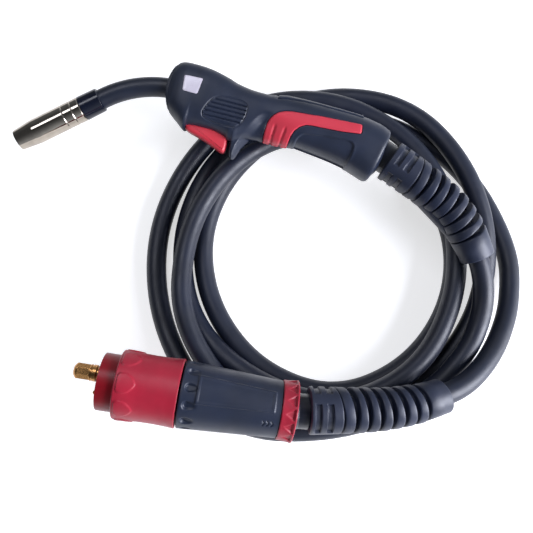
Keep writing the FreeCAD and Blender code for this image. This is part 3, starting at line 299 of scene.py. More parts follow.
FINISHES = {
    "cable_coil": CABLE, "cable_handle_lead": CABLE, "cable_connector_lead": CABLE,
    "handle_boot": BOOT, "connector_boot": BOOT, "spigot_o_ring": BOOT,
    "handle_ball": KNUCKLE, "connector_ball": KNUCKLE,
    "handle_ball_cup": KNUCKLE, "connector_ball_cup": KNUCKLE,
    "handle_cable_core": COPPER, "connector_cable_core": COPPER, "connector_conductor": COPPER,
    "handle_conductor": COPPER, "contact_tip": COPPER,
    "handle_shell_upper": NYLON, "handle_shell_lower": NYLON, "front_band": NYLON, "back_strip": NYLON,
    "side_pad_upper": NYLON, "side_pad_lower": NYLON, "connector_barrel": NYLON, "barrel_panel": NYLON,
    "grip_insert_upper": SOFT_RED, "grip_insert_lower": SOFT_RED,
    "badge_plate_upper": BADGE, "badge_plate_lower": BADGE,
    "trigger": TRIGGER_RED, "switch_plunger": TRIGGER_RED,
    "collar_nut": COLLAR_RED, "rear_ring": COLLAR_RED, "plug_insulator": PLUG_RED,
    "switch_body": GLOSS_BLACK, "neck_end_ring": GLOSS_BLACK, "swan_neck_sleeve": NECK_SLEEVE,
    "gas_diffuser": DIFFUSER, "gas_nozzle": CHROME,
    "plug_body": BRASS, "gas_spigot": BRASS, "liner_nut": BRASS, "contact_pin_a": BRASS,
    "contact_pin_b": BRASS, "contact_sleeves": BRASS, "rear_crimp": BRASS, "swan_neck_tube": BRASS,
    "neck_block": BRASS, "cable_coupler": BRASS, "tip_holder": BRASS,
    "pin_springs": STEEL, "barrel_screws": STEEL, "shell_screws": STEEL, "trigger_pin": STEEL,
    "trigger_spring": STEEL, "wire_liner": STEEL, "nozzle_split_ring": STEEL, "retaining_clip": BLACK_STEEL,
}


def paint(made, finish):
    made.data.materials.clear()
    made.data.materials.append(finish)


for name, made in nodes.items():
    for slot in made.material_slots:
        slot.material = FINISHES[name]

paint(cable, CABLE)
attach(cable, "cable")
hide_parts("cable_coil", "cable_handle_lead", "cable_connector_lead")


# Mesh helpers: everything is drawn in millimetres and placed in the row frame in metres
def in_millimetres(vertices):
    return np.array([tuple(v) for v in vertices]) / MM


def new_mesh(name, points, faces):
    mesh = bpy.data.meshes.new(name)
    mesh.from_pydata((np.asarray(points, float).reshape(-1, 3) * MM).tolist(), [],
                     [tuple(map(int, f)) for f in faces])
    return mesh


def discard(*objects):
    for made in objects:
        data = made.data
        bpy.data.objects.remove(made)
        (bpy.data.curves if isinstance(data, bpy.types.Curve) else bpy.data.meshes).remove(data)


def piece(name, points, faces, finish, body, stands_for, matrix=None, sharp=38.0):
    """A finished piece: edges sharper than the given angle stay sharp, and it replaces stands_for."""
    points = np.asarray(points, float).reshape(-1, 3)
    if matrix is not None:
        place = np.array(matrix)
        points = points @ place[:3, :3].T + place[:3, 3]
    mesh = new_mesh(name, points, faces)
    work = bmesh.new()
    work.from_mesh(mesh)
    bmesh.ops.remove_doubles(work, verts=work.verts, dist=1e-6)
    bmesh.ops.recalc_face_normals(work, faces=work.faces)
    work.to_mesh(mesh)
    work.free()
    mesh.shade_smooth()
    mesh.set_sharp_from_angle(angle=math.radians(sharp))
    made = link(bpy.data.objects.new(name, mesh))
    paint(made, finish)
    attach(made, body)
    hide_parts(*stands_for)
    return made


def grid_faces(rows, columns, wrap=True, closed=False):
    """Quads between rows of points: wrap makes each row a ring, closed joins the last row to the first."""
    row, column = np.meshgrid(np.arange(rows if closed else rows - 1),
                              np.arange(columns if wrap else columns - 1), indexing="ij")
    ahead = (row + 1) % rows
    aside = (column + 1) % columns
    quads = np.stack([row * columns + column, row * columns + aside, ahead * columns + aside,
                      ahead * columns + column], -1)
    return quads.reshape(-1, 4)


def sheet_faces(rows, columns):
    """Faces of a closed sheet: its outer grid, its inner grid and the four edges between them."""
    grid = grid_faces(rows, columns, False)
    shift = rows * columns
    faces = [tuple(f) for f in grid] + [tuple(f[::-1] + shift) for f in grid]
    along = [(i * columns + k, (i + 1) * columns + k) for k in (0, columns - 1) for i in range(rows - 1)]
    across = [(i * columns + k, i * columns + k + 1) for i in (0, rows - 1) for k in range(columns - 1)]
    return faces + [(a, b, b + shift, a + shift) for a, b in along + across]


def smooth_step(value):
    value = np.clip(value, 0.0, 1.0)
    return value * value * (3 - 2 * value)


def smooth_through(table, x):
    """Monotone cubic through (x, y) rows, so that a profile has no kinks and no overshoot."""
    xs, ys = np.array(table, float).T
    step = np.diff(xs)
    slope = np.diff(ys) / step
    tangent = np.zeros_like(xs)
    same = slope[:-1] * slope[1:] > 0
    tangent[1:-1][same] = 2 * slope[:-1][same] * slope[1:][same] / (slope[:-1] + slope[1:])[same]
    tangent[0], tangent[-1] = slope[0], slope[-1]
    x = np.clip(x, xs[0], xs[-1])
    i = np.clip(np.searchsorted(xs, x) - 1, 0, len(step) - 1)
    t = (x - xs[i]) / step[i]
    return (ys[i] * (1 + 2 * t) * (1 - t) ** 2 + step[i] * tangent[i] * t * (1 - t) ** 2
            + ys[i + 1] * t * t * (3 - 2 * t) + step[i] * tangent[i + 1] * t * t * (t - 1))


def lathe(name, outline, finish, body, stands_for, matrix, relief, columns, step, sharp=38.0):
    """A turned piece about x: outline is a closed loop of (x, r), and relief(x, angle, r) adds to r."""
    xs, rs = [], []
    for (x0, r0), (x1, r1) in zip(outline, outline[1:] + outline[:1]):
        count = max(1, int(math.hypot(x1 - x0, r1 - r0) / step))
        for k in range(count):
            xs.append(x0 + (x1 - x0) * k / count)
            rs.append(r0 + (r1 - r0) * k / count)
    x, angle = np.meshgrid(np.array(xs), np.linspace(0, 2 * math.pi, columns, endpoint=False), indexing="ij")
    r = np.repeat(np.array(rs)[:, None], columns, 1)
    r = r + relief(x, angle, r)
    points = np.stack([x, r * np.sin(angle), r * np.cos(angle)], -1)
    faces = grid_faces(len(xs), columns, True, True)
    return piece(name, points, faces, finish, body, stands_for, matrix, sharp)


def nearest_copy(angle, count, phase):
    """Signed angle to the nearest of count equal copies; phase is in degrees from the side that faces up."""
    pitch = 2 * math.pi / count
    turned = angle - math.radians(phase)
    return turned - pitch * np.round(turned / pitch)


# Connector, along its axis from the plug's front face, in millimetres. Collar nut: eight raised arches
COLLAR_OUTLINE = [(13.0, 24.0), (13.0, 25.3), (13.3, 25.95), (13.8, 26.3), (18, 26.4), (24, 26.15),
                  (31, 25.7), (38, 25.5), (46, 25.6), (53, 25.9), (57.5, 26.25), (59.6, 26.4), (60.1, 26.2),
                  (60.1, 25.0), (58.5, 24.6), (58.5, 21.75), (48.0, 21.75), (48.0, 24.0)]
ARCHES = 8
ARCH_PHASE = 2.0
ARCH_START = 15.0
ARCH_LENGTH = 13.8
ARCH_STRAIGHT = 5.0
ARCH_HALF = 7.5
ARCH_CORNER = 3.0
ARCH_HEIGHT = 0.6


def collar_relief(x, angle, r):
    along = x - ARCH_START
    across = np.abs(nearest_copy(angle, ARCHES, ARCH_PHASE)) * r
    taper = np.clip((along - ARCH_STRAIGHT) / (ARCH_LENGTH - ARCH_STRAIGHT), 0, 1)
    half = ARCH_HALF * (1 - taper ** 1.9) ** 0.75
    inside = np.minimum(np.minimum(along, ARCH_LENGTH - along), half - across)
    off_corner = np.hypot(np.maximum(ARCH_CORNER - along, 0), np.maximum(across - ARCH_HALF + ARCH_CORNER, 0))
    corner = np.where(along < ARCH_CORNER, np.minimum(1.0, ARCH_CORNER - off_corner), 1.0)
    height = ARCH_HEIGHT * smooth_step(np.minimum(inside, corner) / ARCH_HEIGHT + 0.1)
    return np.where((r > 24.2) & (x > 13.6) & (x < 34), height, 0.0)


# Barrel: twelve sunk dimples that run out backwards, a raised panel on top and three small chevrons
BARREL_OUTLINE = [(61.4, 19.2), (61.4, 25.0), (61.7, 25.55), (62.4, 25.8), (137.2, 21.85), (137.7, 21.3),
                  (137.7, 19.2)]
BARREL_BORE = 19.3
DIMPLES = 12
DIMPLE_AT = 67.4
DIMPLE_FRONT = 3.4
DIMPLE_TAIL = 8.6
DIMPLE_HALF = 3.7
DIMPLE_DEPTH = 2.2
TOP_PHASE = 12.0
TOP_PANEL = (73.5, 132.5)
TOP_PANEL_HALF = 11.2
TOP_PANEL_NARROWS = 3.4
TOP_PANEL_RIM = 0.7
TOP_PANEL_SUNK = 0.35
CHEVRONS = 3
CHEVRON_AT = 126.0
CHEVRON_PITCH = 3.3
CHEVRON_PHASE = -32.0
CHEVRON_SLOPE = 0.7
CHEVRON_REACH = 2.2
CHEVRON_HALF = 0.9
CHEVRON_DEPTH = 0.6


def dimple_relief(x, angle, r):
    across = nearest_copy(angle, DIMPLES, TOP_PHASE) * r
    along = x - DIMPLE_AT
    length = np.where(along < 0, DIMPLE_FRONT, DIMPLE_TAIL)
    reach = np.hypot(along / length, across / DIMPLE_HALF)
    run_out = np.where(along < 0, 1.0, np.clip(1 - along / DIMPLE_TAIL, 0, 1))
    return -DIMPLE_DEPTH * smooth_step((1 - reach) * 2.2) * run_out


def top_panel_relief(x, angle, r):
    front, rear = TOP_PANEL
    share = np.clip((x - front) / (rear - front), 0, 1)
    across = np.abs(nearest_copy(angle, 1, TOP_PHASE)) * r
    inside = np.minimum(np.minimum(x - front, rear - x), TOP_PANEL_HALF - TOP_PANEL_NARROWS * share - across)
    rim = TOP_PANEL_RIM * smooth_step(inside / TOP_PANEL_RIM + 0.5)
    return rim - TOP_PANEL_SUNK * smooth_step((inside - 1.6) / 0.9)


def chevron_relief(x, angle, r):
    near = np.abs(nearest_copy(angle, 1, CHEVRON_PHASE) * r)
    height = np.zeros_like(x)
    for k in range(CHEVRONS):
        bent = x - (CHEVRON_AT + CHEVRON_PITCH * k) + CHEVRON_SLOPE * near
        height -= CHEVRON_DEPTH * smooth_step(1 - np.abs(bent) / CHEVRON_HALF) * (near < CHEVRON_REACH)
    return height


def barrel_relief(x, angle, r):
    height = dimple_relief(x, angle, r) + top_panel_relief(x, angle, r) + chevron_relief(x, angle, r)
    return np.where(r > BARREL_BORE, height, 0.0)


# Rear ring: fourteen sunk triangles that widen backwards
RING_OUTLINE = [(137.75, 14.8), (137.75, 22.4), (138.2, 22.75), (142.0, 22.95), (147.0, 23.6), (148.6, 23.9),
                (149.3, 23.75), (149.6, 23.2), (149.6, 21.0), (148.6, 20.6), (148.6, 14.8)]
TRIANGLES = 14
TRIANGLE_PHASE = -7.0
TRIANGLE_TIP = 140.2
TRIANGLE_LENGTH = 7.0
TRIANGLE_HALF = 4.3
TRIANGLE_DEPTH = 1.5


def ring_relief(x, angle, r):
    across = np.abs(nearest_copy(angle, TRIANGLES, TRIANGLE_PHASE)) * r
    along = (x - TRIANGLE_TIP) / TRIANGLE_LENGTH
    share = np.clip(along, 0, 1)
    deep = smooth_step((TRIANGLE_HALF * share - across) / 0.9 + 0.2) * share
    deep *= smooth_step((1.16 - along) / 0.16)
    return np.where((r > 22.3) & (x > 138.4) & (x < 148.6), -TRIANGLE_DEPTH * deep, 0.0)


# Liner nut: a small knob with eight flats, a groove and a collar, beside the connector's axis
LINER_NUT_OUTLINE = [(-21.9, 1.2), (-21.9, 4.1), (-20.4, 5.8), (-19.3, 6.4), (-8.7, 6.4), (-8.5, 5.8),
                     (-7.7, 5.8), (-7.5, 6.4), (-4.9, 6.4), (-4.4, 6.0), (-4.4, 5.05), (-9.1, 5.05),
                     (-9.1, 3.55), (-17.2, 3.55), (-17.2, 1.2)]
FLATS = 8
LINER_NUT = CONNECTOR @ Matrix.Translation((0, 5.0, 0))


def knob_relief(x, angle, r):
    flat = r * (math.cos(math.pi / FLATS) / np.cos(nearest_copy(angle, FLATS, 0.0)) - 1)
    return np.where((r > 6.2) & (x > -19.6) & (x < -9.4), flat, 0.0)


lathe("collar_nut_cover", COLLAR_OUTLINE, COLLAR_RED, "collar_nut", ["collar_nut"], CONNECTOR,
      collar_relief, columns=260, step=0.6)
lathe("connector_barrel_cover", BARREL_OUTLINE, NYLON, "connector", ["connector_barrel", "barrel_panel"],
      CONNECTOR, barrel_relief, columns=300, step=0.5)
lathe("rear_ring_cover", RING_OUTLINE, COLLAR_RED, "connector", ["rear_ring"], CONNECTOR,
      ring_relief, columns=280, step=0.5)
lathe("liner_nut_cover", LINER_NUT_OUTLINE, BRASS, "connector", ["liner_nut"], LINER_NUT,
      knob_relief, columns=96, step=0.6, sharp=24.0)

# Boots: a collar with sunk slots, seven ribs that stand further apart on one side, and an end sleeve. Lengths
# run along the cable from the ball's centre, a pair of radii is the first and the last, and slots are pairs
# of degrees round the collar. The gaps are widest at the angle wide, and a rib leans by a share of its radius
# upwards and sideways
HANDLE_BOOT = {
    "collar": (20.2, 43.6), "collar_r": (18.0, 17.6), "slit": 1.7, "ribs": 7, "first_gap": 3.0, "rib": 5.2,
    "gap": 4.35, "rib_r": (17.3, 16.4), "core": 10.6, "sleeve": 21.6, "sleeve_r": (15.9, 14.5), "wide": -90.0,
    "lean": (0.2, 0.17), "slot_at": 7.2, "slots": [(-56, 26), (54, 135), (164, 245)]}
CONNECTOR_BOOT = {
    "collar": (18.8, 40.2), "collar_r": (18.4, 18.0), "slit": 1.2, "ribs": 7, "first_gap": 3.5, "rib": 5.0,
    "gap": 4.35, "rib_r": (17.6, 15.6), "core": 11.2, "sleeve": 20.0, "sleeve_r": (14.8, 14.2), "wide": -90.0,
    "lean": (0.17, 0.1), "slot_at": 5.4, "slots": [(-15, 66), (-124, -43), (94, 175)]}
BOOT_COLUMNS = 144
RIB_COLUMNS = 96
BOOT_BORE = 9.3
NARROW_GAP = 2.2
BOOT_SLOT_PITCH = 9.2
BOOT_SLOT_HALF = 2.5
BOOT_SLOT_DEPTH = 1.9


class Path:
    """Points and frames along the cable from one of its ends, in millimetres."""

    def __init__(self, points):
        self.points = points
        self.steps = np.concatenate([[0.0], np.cumsum(np.linalg.norm(np.diff(points, axis=0), axis=1))])
        way = np.gradient(points, axis=0)
        self.ways = way / np.linalg.norm(way, axis=1)[:, None]

    def at(self, distance):
        """Point, upward direction and sideways direction at each distance."""
        point = np.stack([np.interp(distance, self.steps, self.points[:, k]) for k in range(3)], -1)
        way = np.stack([np.interp(distance, self.steps, self.ways[:, k]) for k in range(3)], -1)
        way /= np.linalg.norm(way, axis=-1)[..., None]
        side = np.cross(way, (0.0, 0.0, 1.0))
        side /= np.linalg.norm(side, axis=-1)[..., None]
        return point, np.cross(side, way), side


def new_tree(name, inputs):
    """A Geometry Nodes tree with the named inputs (kind and default), and their sockets."""
    group = bpy.data.node_groups.new(name, "GeometryNodeTree")
    for label, (kind, value) in inputs.items():
        socket = group.interface.new_socket(label, in_out="INPUT", socket_type="NodeSocket" + kind)
        if value is not None:
            socket.default_value = value
    group.interface.new_socket("Geometry", in_out="OUTPUT", socket_type="NodeSocketGeometry")
    return group, group.nodes.new("NodeGroupInput").outputs


def end_tree(group, given, points, shape, turned, scale):
    """Copies of shape on the points, made real and coated with the tree's material."""
    source = add(group, "GeometryNodeObjectInfo", {"Object": given[shape]})
    copies = add(group, "GeometryNodeInstanceOnPoints",
                 {"Points": points, "Instance": source.outputs["Geometry"], "Rotation": turned,
                  "Scale": scale})
    real = add(group, "GeometryNodeRealizeInstances", {"Geometry": copies.outputs[0]})
    coated = add(group, "GeometryNodeSetMaterial",
                 {"Geometry": real.outputs[0], "Material": given["Material"]})
    group.links.new(coated.outputs[0], group.nodes.new("NodeGroupOutput").inputs[0])
    return group


def evaluated(host, group, values):
    """Run a tree on a host object and take the result as plain points and faces, in millimetres."""
    modifier = host.modifiers.new("nodes", "NODES")
    modifier.node_group = group
    names = {item.name: item.identifier for item in group.interface.items_tree if item.in_out == "INPUT"}
    for key, value in values.items():
        modifier[names[key]] = value
    bpy.context.view_layer.update()
    result = bpy.data.meshes.new_from_object(host.evaluated_get(bpy.context.evaluated_depsgraph_get()))
    points = in_millimetres(v.co for v in result.vertices)
    faces = [tuple(p.vertices) for p in result.polygons]
    bpy.data.meshes.remove(result)
    host.modifiers.remove(modifier)
    return points, faces


def calculated(group, operation, *values):
    return add(group, "ShaderNodeMath", dict(enumerate(values)), operation=operation).outputs[0]


def ribs_tree():
    """Copies of one rib along a curve, turned with it and scaled from the first to the last."""
    group, given = new_tree("ribs_along_curve", {
        "Geometry": ("Geometry", None), "Rib": ("Object", None), "Count": ("Int", 7),
        "First distance": ("Float", 0.05), "Pitch": ("Float", 0.009), "First scale": ("Float", 1.0),
        "Last scale": ("Float", 1.0), "Unevenness": ("Float", 0.0), "Seed": ("Int", 7),
        "Material": ("Material", None)})
    points = add(group, "GeometryNodePoints", {"Count": given["Count"]})
    order = add(group, "GeometryNodeInputIndex").outputs[0]
    share = calculated(group, "DIVIDE", order, calculated(group, "SUBTRACT", given["Count"], 1.0))
    random = add(group, "FunctionNodeRandomValue", {"Seed": given["Seed"]}, data_type="FLOAT")
    shift = calculated(group, "MULTIPLY", random.outputs[1], given["Unevenness"])
    place = calculated(group, "MULTIPLY_ADD", order, given["Pitch"], given["First distance"])
    sample = add(group, "GeometryNodeSampleCurve", {"Length": calculated(group, "ADD", place, shift)},
                 mode="LENGTH", use_all_curves=True)
    group.links.new(given["Geometry"], sample.inputs["Curves"])
    moved = add(group, "GeometryNodeSetPosition",
                {"Geometry": points.outputs[0], "Position": sample.outputs["Position"]})
    along = add(group, "FunctionNodeAlignRotationToVector", {"Vector": sample.outputs["Tangent"]}, axis="Z")
    turned = add(group, "FunctionNodeAlignRotationToVector",
                 {"Rotation": along.outputs[0], "Vector": (0, 0, 1)}, axis="X", pivot_axis="Z")
    size = add(group, "ShaderNodeMapRange", {"Value": share, "To Min": given["First scale"],
                                             "To Max": given["Last scale"]}).outputs[0]
    scale = add(group, "ShaderNodeCombineXYZ", {"X": size, "Y": size, "Z": 1.0})
    return end_tree(group, given, moved.outputs[0], "Rib", turned.outputs[0], scale.outputs[0])


def shut_side(angle, boot):
    """Share by which a gap is closed at each angle: none on the boot's wide side."""
    return smooth_step(0.35 - 0.6 * np.cos(angle - math.radians(boot["wide"])))


def rib_shape(boot):
    """One rib about z, longer on the side that is away from the wide gaps, and leaning."""
    radius, core = boot["rib_r"][0], boot["core"]
    rows = [(-0.5, core, -1), (-0.5, radius - 1.2, -1), (-0.5, radius - 0.5, -1),
            (-0.45, radius - 0.12, -0.9), (-0.3, radius + 0.05, -0.6), (0.0, radius + 0.12, 0),
            (0.3, radius + 0.05, 0.6), (0.45, radius - 0.12, 0.9), (0.5, radius - 0.45, 1),
            (0.5, radius - 1.2, 1), (0.5, core, 1)]
    angle = np.linspace(-math.pi, math.pi, RIB_COLUMNS, endpoint=False)
    closing = 0.5 * (boot["gap"] - NARROW_GAP) * shut_side(angle, boot)
    points = []
    for at, r, side in rows:
        x, y = r * np.cos(angle), r * np.sin(angle)
        lean = boot["lean"][0] * x + boot["lean"][1] * y
        points.append(np.stack([x, y, at * boot["rib"] + side * closing + lean], -1))
    faces = grid_faces(len(rows), RIB_COLUMNS, True, True)
    return bpy.data.objects.new("rib_shape", new_mesh("rib_shape", points, faces))


def ribs_along(route, boot, tree):
    """The boot's ribs after the first, which is part of the collar."""
    ribs = boot["ribs"] - 1
    pitch = boot["rib"] + boot["gap"]
    first = boot["collar"][1] + boot["first_gap"] + pitch + boot["rib"] / 2
    curve = bpy.data.curves.new("route", "CURVE")
    curve.dimensions = "3D"
    reach = route.points[route.steps < first + pitch * (ribs + 3)]
    spline = curve.splines.new("POLY")
    spline.points.add(len(reach) - 1)
    for slot, point in zip(spline.points, reach):
        slot.co = (*(point * MM), 1.0)
    host = link(bpy.data.objects.new("route", curve))
    shape = link(rib_shape(boot))
    points, faces = evaluated(host, tree, {
        "Rib": shape, "Count": ribs, "First distance": first * MM, "Pitch": pitch * MM, "First scale": 1.0,
        "Last scale": boot["rib_r"][1] / boot["rib_r"][0], "Unevenness": 0.15 * MM, "Seed": 7,
        "Material": BOOT})
    discard(host, shape)
    return points, faces


def boot_rows(boot):
    """Rows of (distance, radius, mark). A row marked 1 or -1 moves with the shut side of a gap, and 2 opens
    the slit between the collar and its first rib."""
    start, end = boot["collar"]
    r0, r1 = boot["collar_r"]
    first, core = boot["rib_r"][0], boot["core"]
    rows = [(start, BOOT_BORE, 0), (start, r0 - 1.4, 0), (start + 0.3, r0 - 0.5, 0), (start + 1.0, r0, 0)]
    length = end - 1.6 - start
    count = int(length / 0.45)
    for k in range(1, count):
        rows.append((start + 1.0 + length * k / count, r0 + (r1 - r0) * k / count, 0))
    at = end + boot["first_gap"] + boot["rib"]
    rows += [(end - 0.6, r1 - 0.1, 0), (end - 0.3, r1 - 0.5, 0), (end, r1 - 1.2, 0), (end, r1 - 2.6, 0),
             (end + 0.1, r1 - 2.6, 2), (end + 0.2, first - 0.6, 2), (end + 0.5, first + 0.1, 2),
             (end + 1.1, first + 0.3, 2), (at - 1.6, first + 0.1, 1), (at - 0.5, first - 0.3, 1),
             (at, first - 1.4, 1), (at, core, 1)]
    at += (boot["gap"] + boot["rib"]) * (boot["ribs"] - 1) + boot["gap"]
    tip = at + boot["sleeve"]
    r2, r3 = boot["sleeve_r"]
    groove_r = r2 + (r3 - r2) * 0.6
    rows += [(at, core, -1), (at, r2 - 1.0, -1), (at + 0.3, r2 - 0.2, -1), (at + 1.0, r2 + 0.1, -1),
             (tip - 9, groove_r, 0), (tip - 8.6, groove_r - 0.2, 0), (tip - 1.4, r3, 0),
             (tip - 0.5, r3 - 0.4, 0), (tip - 0.1, r3 - 1.1, 0), (tip, r3 - 2.0, 0), (tip, BOOT_BORE, 0),
             (tip - 4, BOOT_BORE - 0.25, 0)]
    return np.array(rows), tip


def slots_depth(boot, distance, angle):
    """Two rows of sunk slots round the collar."""
    depth = np.zeros_like(distance)
    for k in range(2):
        along = np.abs(distance - (boot["collar"][0] + boot["slot_at"] + BOOT_SLOT_PITCH * k))
        for low, high in boot["slots"]:
            half = math.radians((high - low) / 2)
            aside = (half - np.abs(nearest_copy(angle, 1, (low + high) / 2))) * boot["collar_r"][0]
            depth = np.maximum(depth, smooth_step(np.minimum(BOOT_SLOT_HALF - along, aside) / 0.55))
    return BOOT_SLOT_DEPTH * depth


def make_boot(name, route, boot, tree, stands_for):
    """A whole boot along its end of the cable, with its ribs."""
    start, end = boot["collar"]
    rows, tip = boot_rows(boot)
    angle = np.linspace(-math.pi, math.pi, BOOT_COLUMNS, endpoint=False)
    distance, radius, mark = (np.repeat(rows[:, k:k + 1], BOOT_COLUMNS, 1) for k in range(3))
    shut = shut_side(angle, boot)
    leaning = smooth_step((distance - end + 14) / 14) * (1 - 0.5 * smooth_step((distance - tip + 12) / 12))
    leaning *= radius * (boot["lean"][0] * np.cos(angle) + boot["lean"][1] * np.sin(angle))
    closing = np.where(mark == 2, boot["slit"], mark * 0.5 * (boot["gap"] - NARROW_GAP)) * shut
    distance = distance + closing + leaning
    collar = (distance > start + 1) & (distance < end - 1) & (radius > 15)
    radius = radius - np.where(collar, slots_depth(boot, distance, angle), 0.0)
    point, upward, side = route.at(distance)
    around = np.cos(angle)[None, :, None] * upward + np.sin(angle)[None, :, None] * side
    points = (point + radius[..., None] * around).reshape(-1, 3)
    ribs, rib_faces = ribs_along(route, boot, tree)
    faces = [tuple(f) for f in grid_faces(len(rows), BOOT_COLUMNS, True, True)]
    faces += [tuple(i + len(points) for i in f) for f in rib_faces]
    return piece(name, np.concatenate([points, ribs]), faces, BOOT, "cable", stands_for,
                 sharp=50.0)


route_points = in_millimetres(cable_line)
boot_tree = ribs_tree()
boots = [make_boot("handle_boot_cover", Path(route_points), HANDLE_BOOT, boot_tree, ["handle_boot"]),
         make_boot("connector_boot_cover", Path(route_points[::-1]), CONNECTOR_BOOT, boot_tree,
                   ["connector_boot"])]

# Handle, in its own frame and in millimetres: x runs back from the neck to the boot, y up in the side view
# and z across. The profiles are (x, y) rows along the top seam and the bottom seam, HALF is half the width,
# and POWER says how square a section is
TOP = [(-186.2, 21.4), (-184.6, 24.0), (-180.5, 25.8), (-174.9, 26.5), (-166, 26.9), (-158.5, 26.6),
       (-142.3, 24.2), (-131.8, 21.8), (-117.8, 20.8), (-108, 21.3), (-99.1, 22.7), (-88.9, 25.0),
       (-59.9, 27.0), (-24.5, 28.3), (-10, 27.0), (-6.8, 26.5), (-2.5, 25.2), (-0.1, 23.9), (1.0, 22.0)]
BOTTOM = [(-187.5, -12.5), (-186, -14.4), (-182.9, -19.1), (-175, -24.2), (-169, -28.4), (-167.3, -29.2),
          (-165.8, -28.2), (-164.8, -25.6), (-158, -23.8), (-150, -23.2), (-145, -23.0), (-141, -23.3),
          (-136, -24.0), (-131, -25.4), (-128, -27.4), (-124.9, -27.6), (-121, -25.0), (-117, -22.4),
          (-113, -20.6), (-104, -18.6), (-99.4, -18.1), (-78.8, -16.1), (-72.3, -15.2), (-60, -15.8),
          (-45.8, -16.6), (-26.6, -18.7), (-16.6, -21.0), (-6.6, -23.3), (-3.2, -22.6), (2.1, -21.9)]
HALF = [(-187.5, 14.0), (-182, 17.0), (-175, 19.0), (-167.5, 19.5), (-158, 19.5), (-150, 19.0), (-141, 18.5),
        (-131, 18.2), (-121, 18.0), (-112, 17.8), (-105, 17.6), (-99, 17.8), (-89, 18.5), (-78.8, 19.5),
        (-66, 20.6), (-45.8, 21.5), (-26.6, 22.3), (-14, 22.8), (-5, 22.8), (2.1, 22.4)]
POWER = [(-187.5, 2.8), (-150, 2.9), (-115, 2.5), (-60, 2.4), (2.1, 2.25)]
FRONT_X = -186.6
REAR_X = -3.0
REAR_LEAN = 0.135
WALL = 2.3
SEAM_GAP = 0.05
SKIN_COLUMNS = 128
SKIN_STEP = 0.75
FINE_STEP = 0.5
FINE_REACH = (-156.5, -116.5)

# Finger guard behind the trigger: its low edge, its reach and half width. The scoop behind it has its front
# edge as (y, x) rows
GUARD_LOW = [(-124.9, -19.5), (-124.5, -33.0), (-123.6, -37.6), (-122.4, -39.6), (-120.8, -40.6),
             (-119.3, -40.3), (-118.1, -38.6), (-116.9, -35.4), (-114.8, -30.0), (-112.4, -26.3),
             (-109.8, -23.3), (-106.8, -21.0), (-103.6, -19.3), (-101.0, -17.5)]
GUARD_REACH = (-124.95, -101.0)
GUARD_FRONT = (-124.9, -124.7, -124.5, -124.3, -124.0)
GUARD_HALF = 8.5
SCOOP_EDGE = [(-42.0, -120.4), (-35.6, -121.2), (-28.7, -120.6), (-19.3, -117.8), (-10.4, -113.9),
              (-2.4, -109.8), (6.0, -105.0), (30.0, -100.0)]
SCOOP_DEPTH = 4.6

# Trigger and its slot: the slot's two ends and its half width, and the trigger's side outline
SLOT_FROM = -165.7
SLOT_TO = -125.2
SLOT_HALF = 7.2
TRIGGER = [(-166.0, -28.0), (-165.6, -21.9), (-164.6, -21.1), (-133.2, -21.1), (-129.4, -23.8),
           (-127.7, -28.0), (-127.3, -34.8), (-128.2, -37.3), (-130.4, -38.0), (-132.6, -37.6),
           (-141.1, -34.6), (-149.1, -32.0), (-161.1, -29.8)]
TRIGGER_HALF = 6.6
FINGER_FACE_Y = -26
FINGER_BEVEL = 3.0
BACK_BEVEL = 0.8

# What is let into the sides: grooved pad, sunk panel, grip insert with flutes, badge plate and screws
PAD = [(-143.9, 4.8), (-134.2, 6.4), (-124.9, 7.0), (-118.8, 5.0), (-117.7, -1.0), (-118.4, -7.7),
       (-120.5, -13.1), (-123.8, -16.8), (-133.8, -18.0), (-143.2, -18.2), (-152.8, -16.4), (-154.7, -12.4),
       (-152.5, -5.6), (-149.3, 1.0)]
PAD_GROOVES = (-12.6, -8.9, -5.2, -1.6, 1.9)
PAD_SLOPE = 0.07
PANEL = [(-73.4, -30.0), (-72.7, -9.4), (-68.7, -4.0), (-61.6, -2.6), (-49.1, -0.5), (-29.5, 1.7),
         (-25.3, -0.4), (-24.5, -7.0), (-26.0, -16.8), (-26.5, -30.0)]
PANEL_DEPTH = 1.2
INSERT = [(-99.3, -30.0), (-99.3, -20.9), (-99.6, -11.4), (-99.7, -4.8), (-98.9, -1.2), (-96.8, 2.7),
          (-93.0, 6.6), (-88.1, 9.0), (-82.5, 10.4), (-67.4, 12.3), (-59.3, 13.6), (-25.0, 17.6),
          (-23.8, 17.0), (-22.6, 9.8), (-38.2, 6.9), (-58.0, 4.6), (-64.9, 3.9), (-68.6, 3.1), (-72.7, 0.5),
          (-76.3, -3.9), (-77.9, -9.4), (-78.3, -14.3), (-78.6, -30.0)]
INSERT_POCKET = 1.2
FLUTES = ((-92.8, 0.015), (-84.4, 0.07))
BADGE_PLATE = [(-176.2, 11.4), (-175.4, 12.2), (-161.6, 13.6), (-160.8, 12.8), (-161.6, 0.8), (-162.6, -0.1),
               (-173.4, -0.6), (-174.4, 0.3)]
BADGE_POCKET = 0.5
SCREWS = [(-178.5, 18.0), (-112.0, 15.5), (-62.0, 18.5), (-36.0, -9.0)]
SCREW_POCKET_R = 3.5
SCREW_POCKET = 2.0

# Raised strip along the spine: its two ends and half width, and its groove in the shells
STRIP = (-97.4, -24.1)
STRIP_HALF = 12.5
STRIP_GROOVE = 0.7

# Round openings of the shells, on the neck's axis in front and on the ball's axis behind
NECK_Y = 2.6
NECK_HOLE_R = 8.6
REAR_HOLE_Y = 4.6
REAR_HOLE_R = 17.5


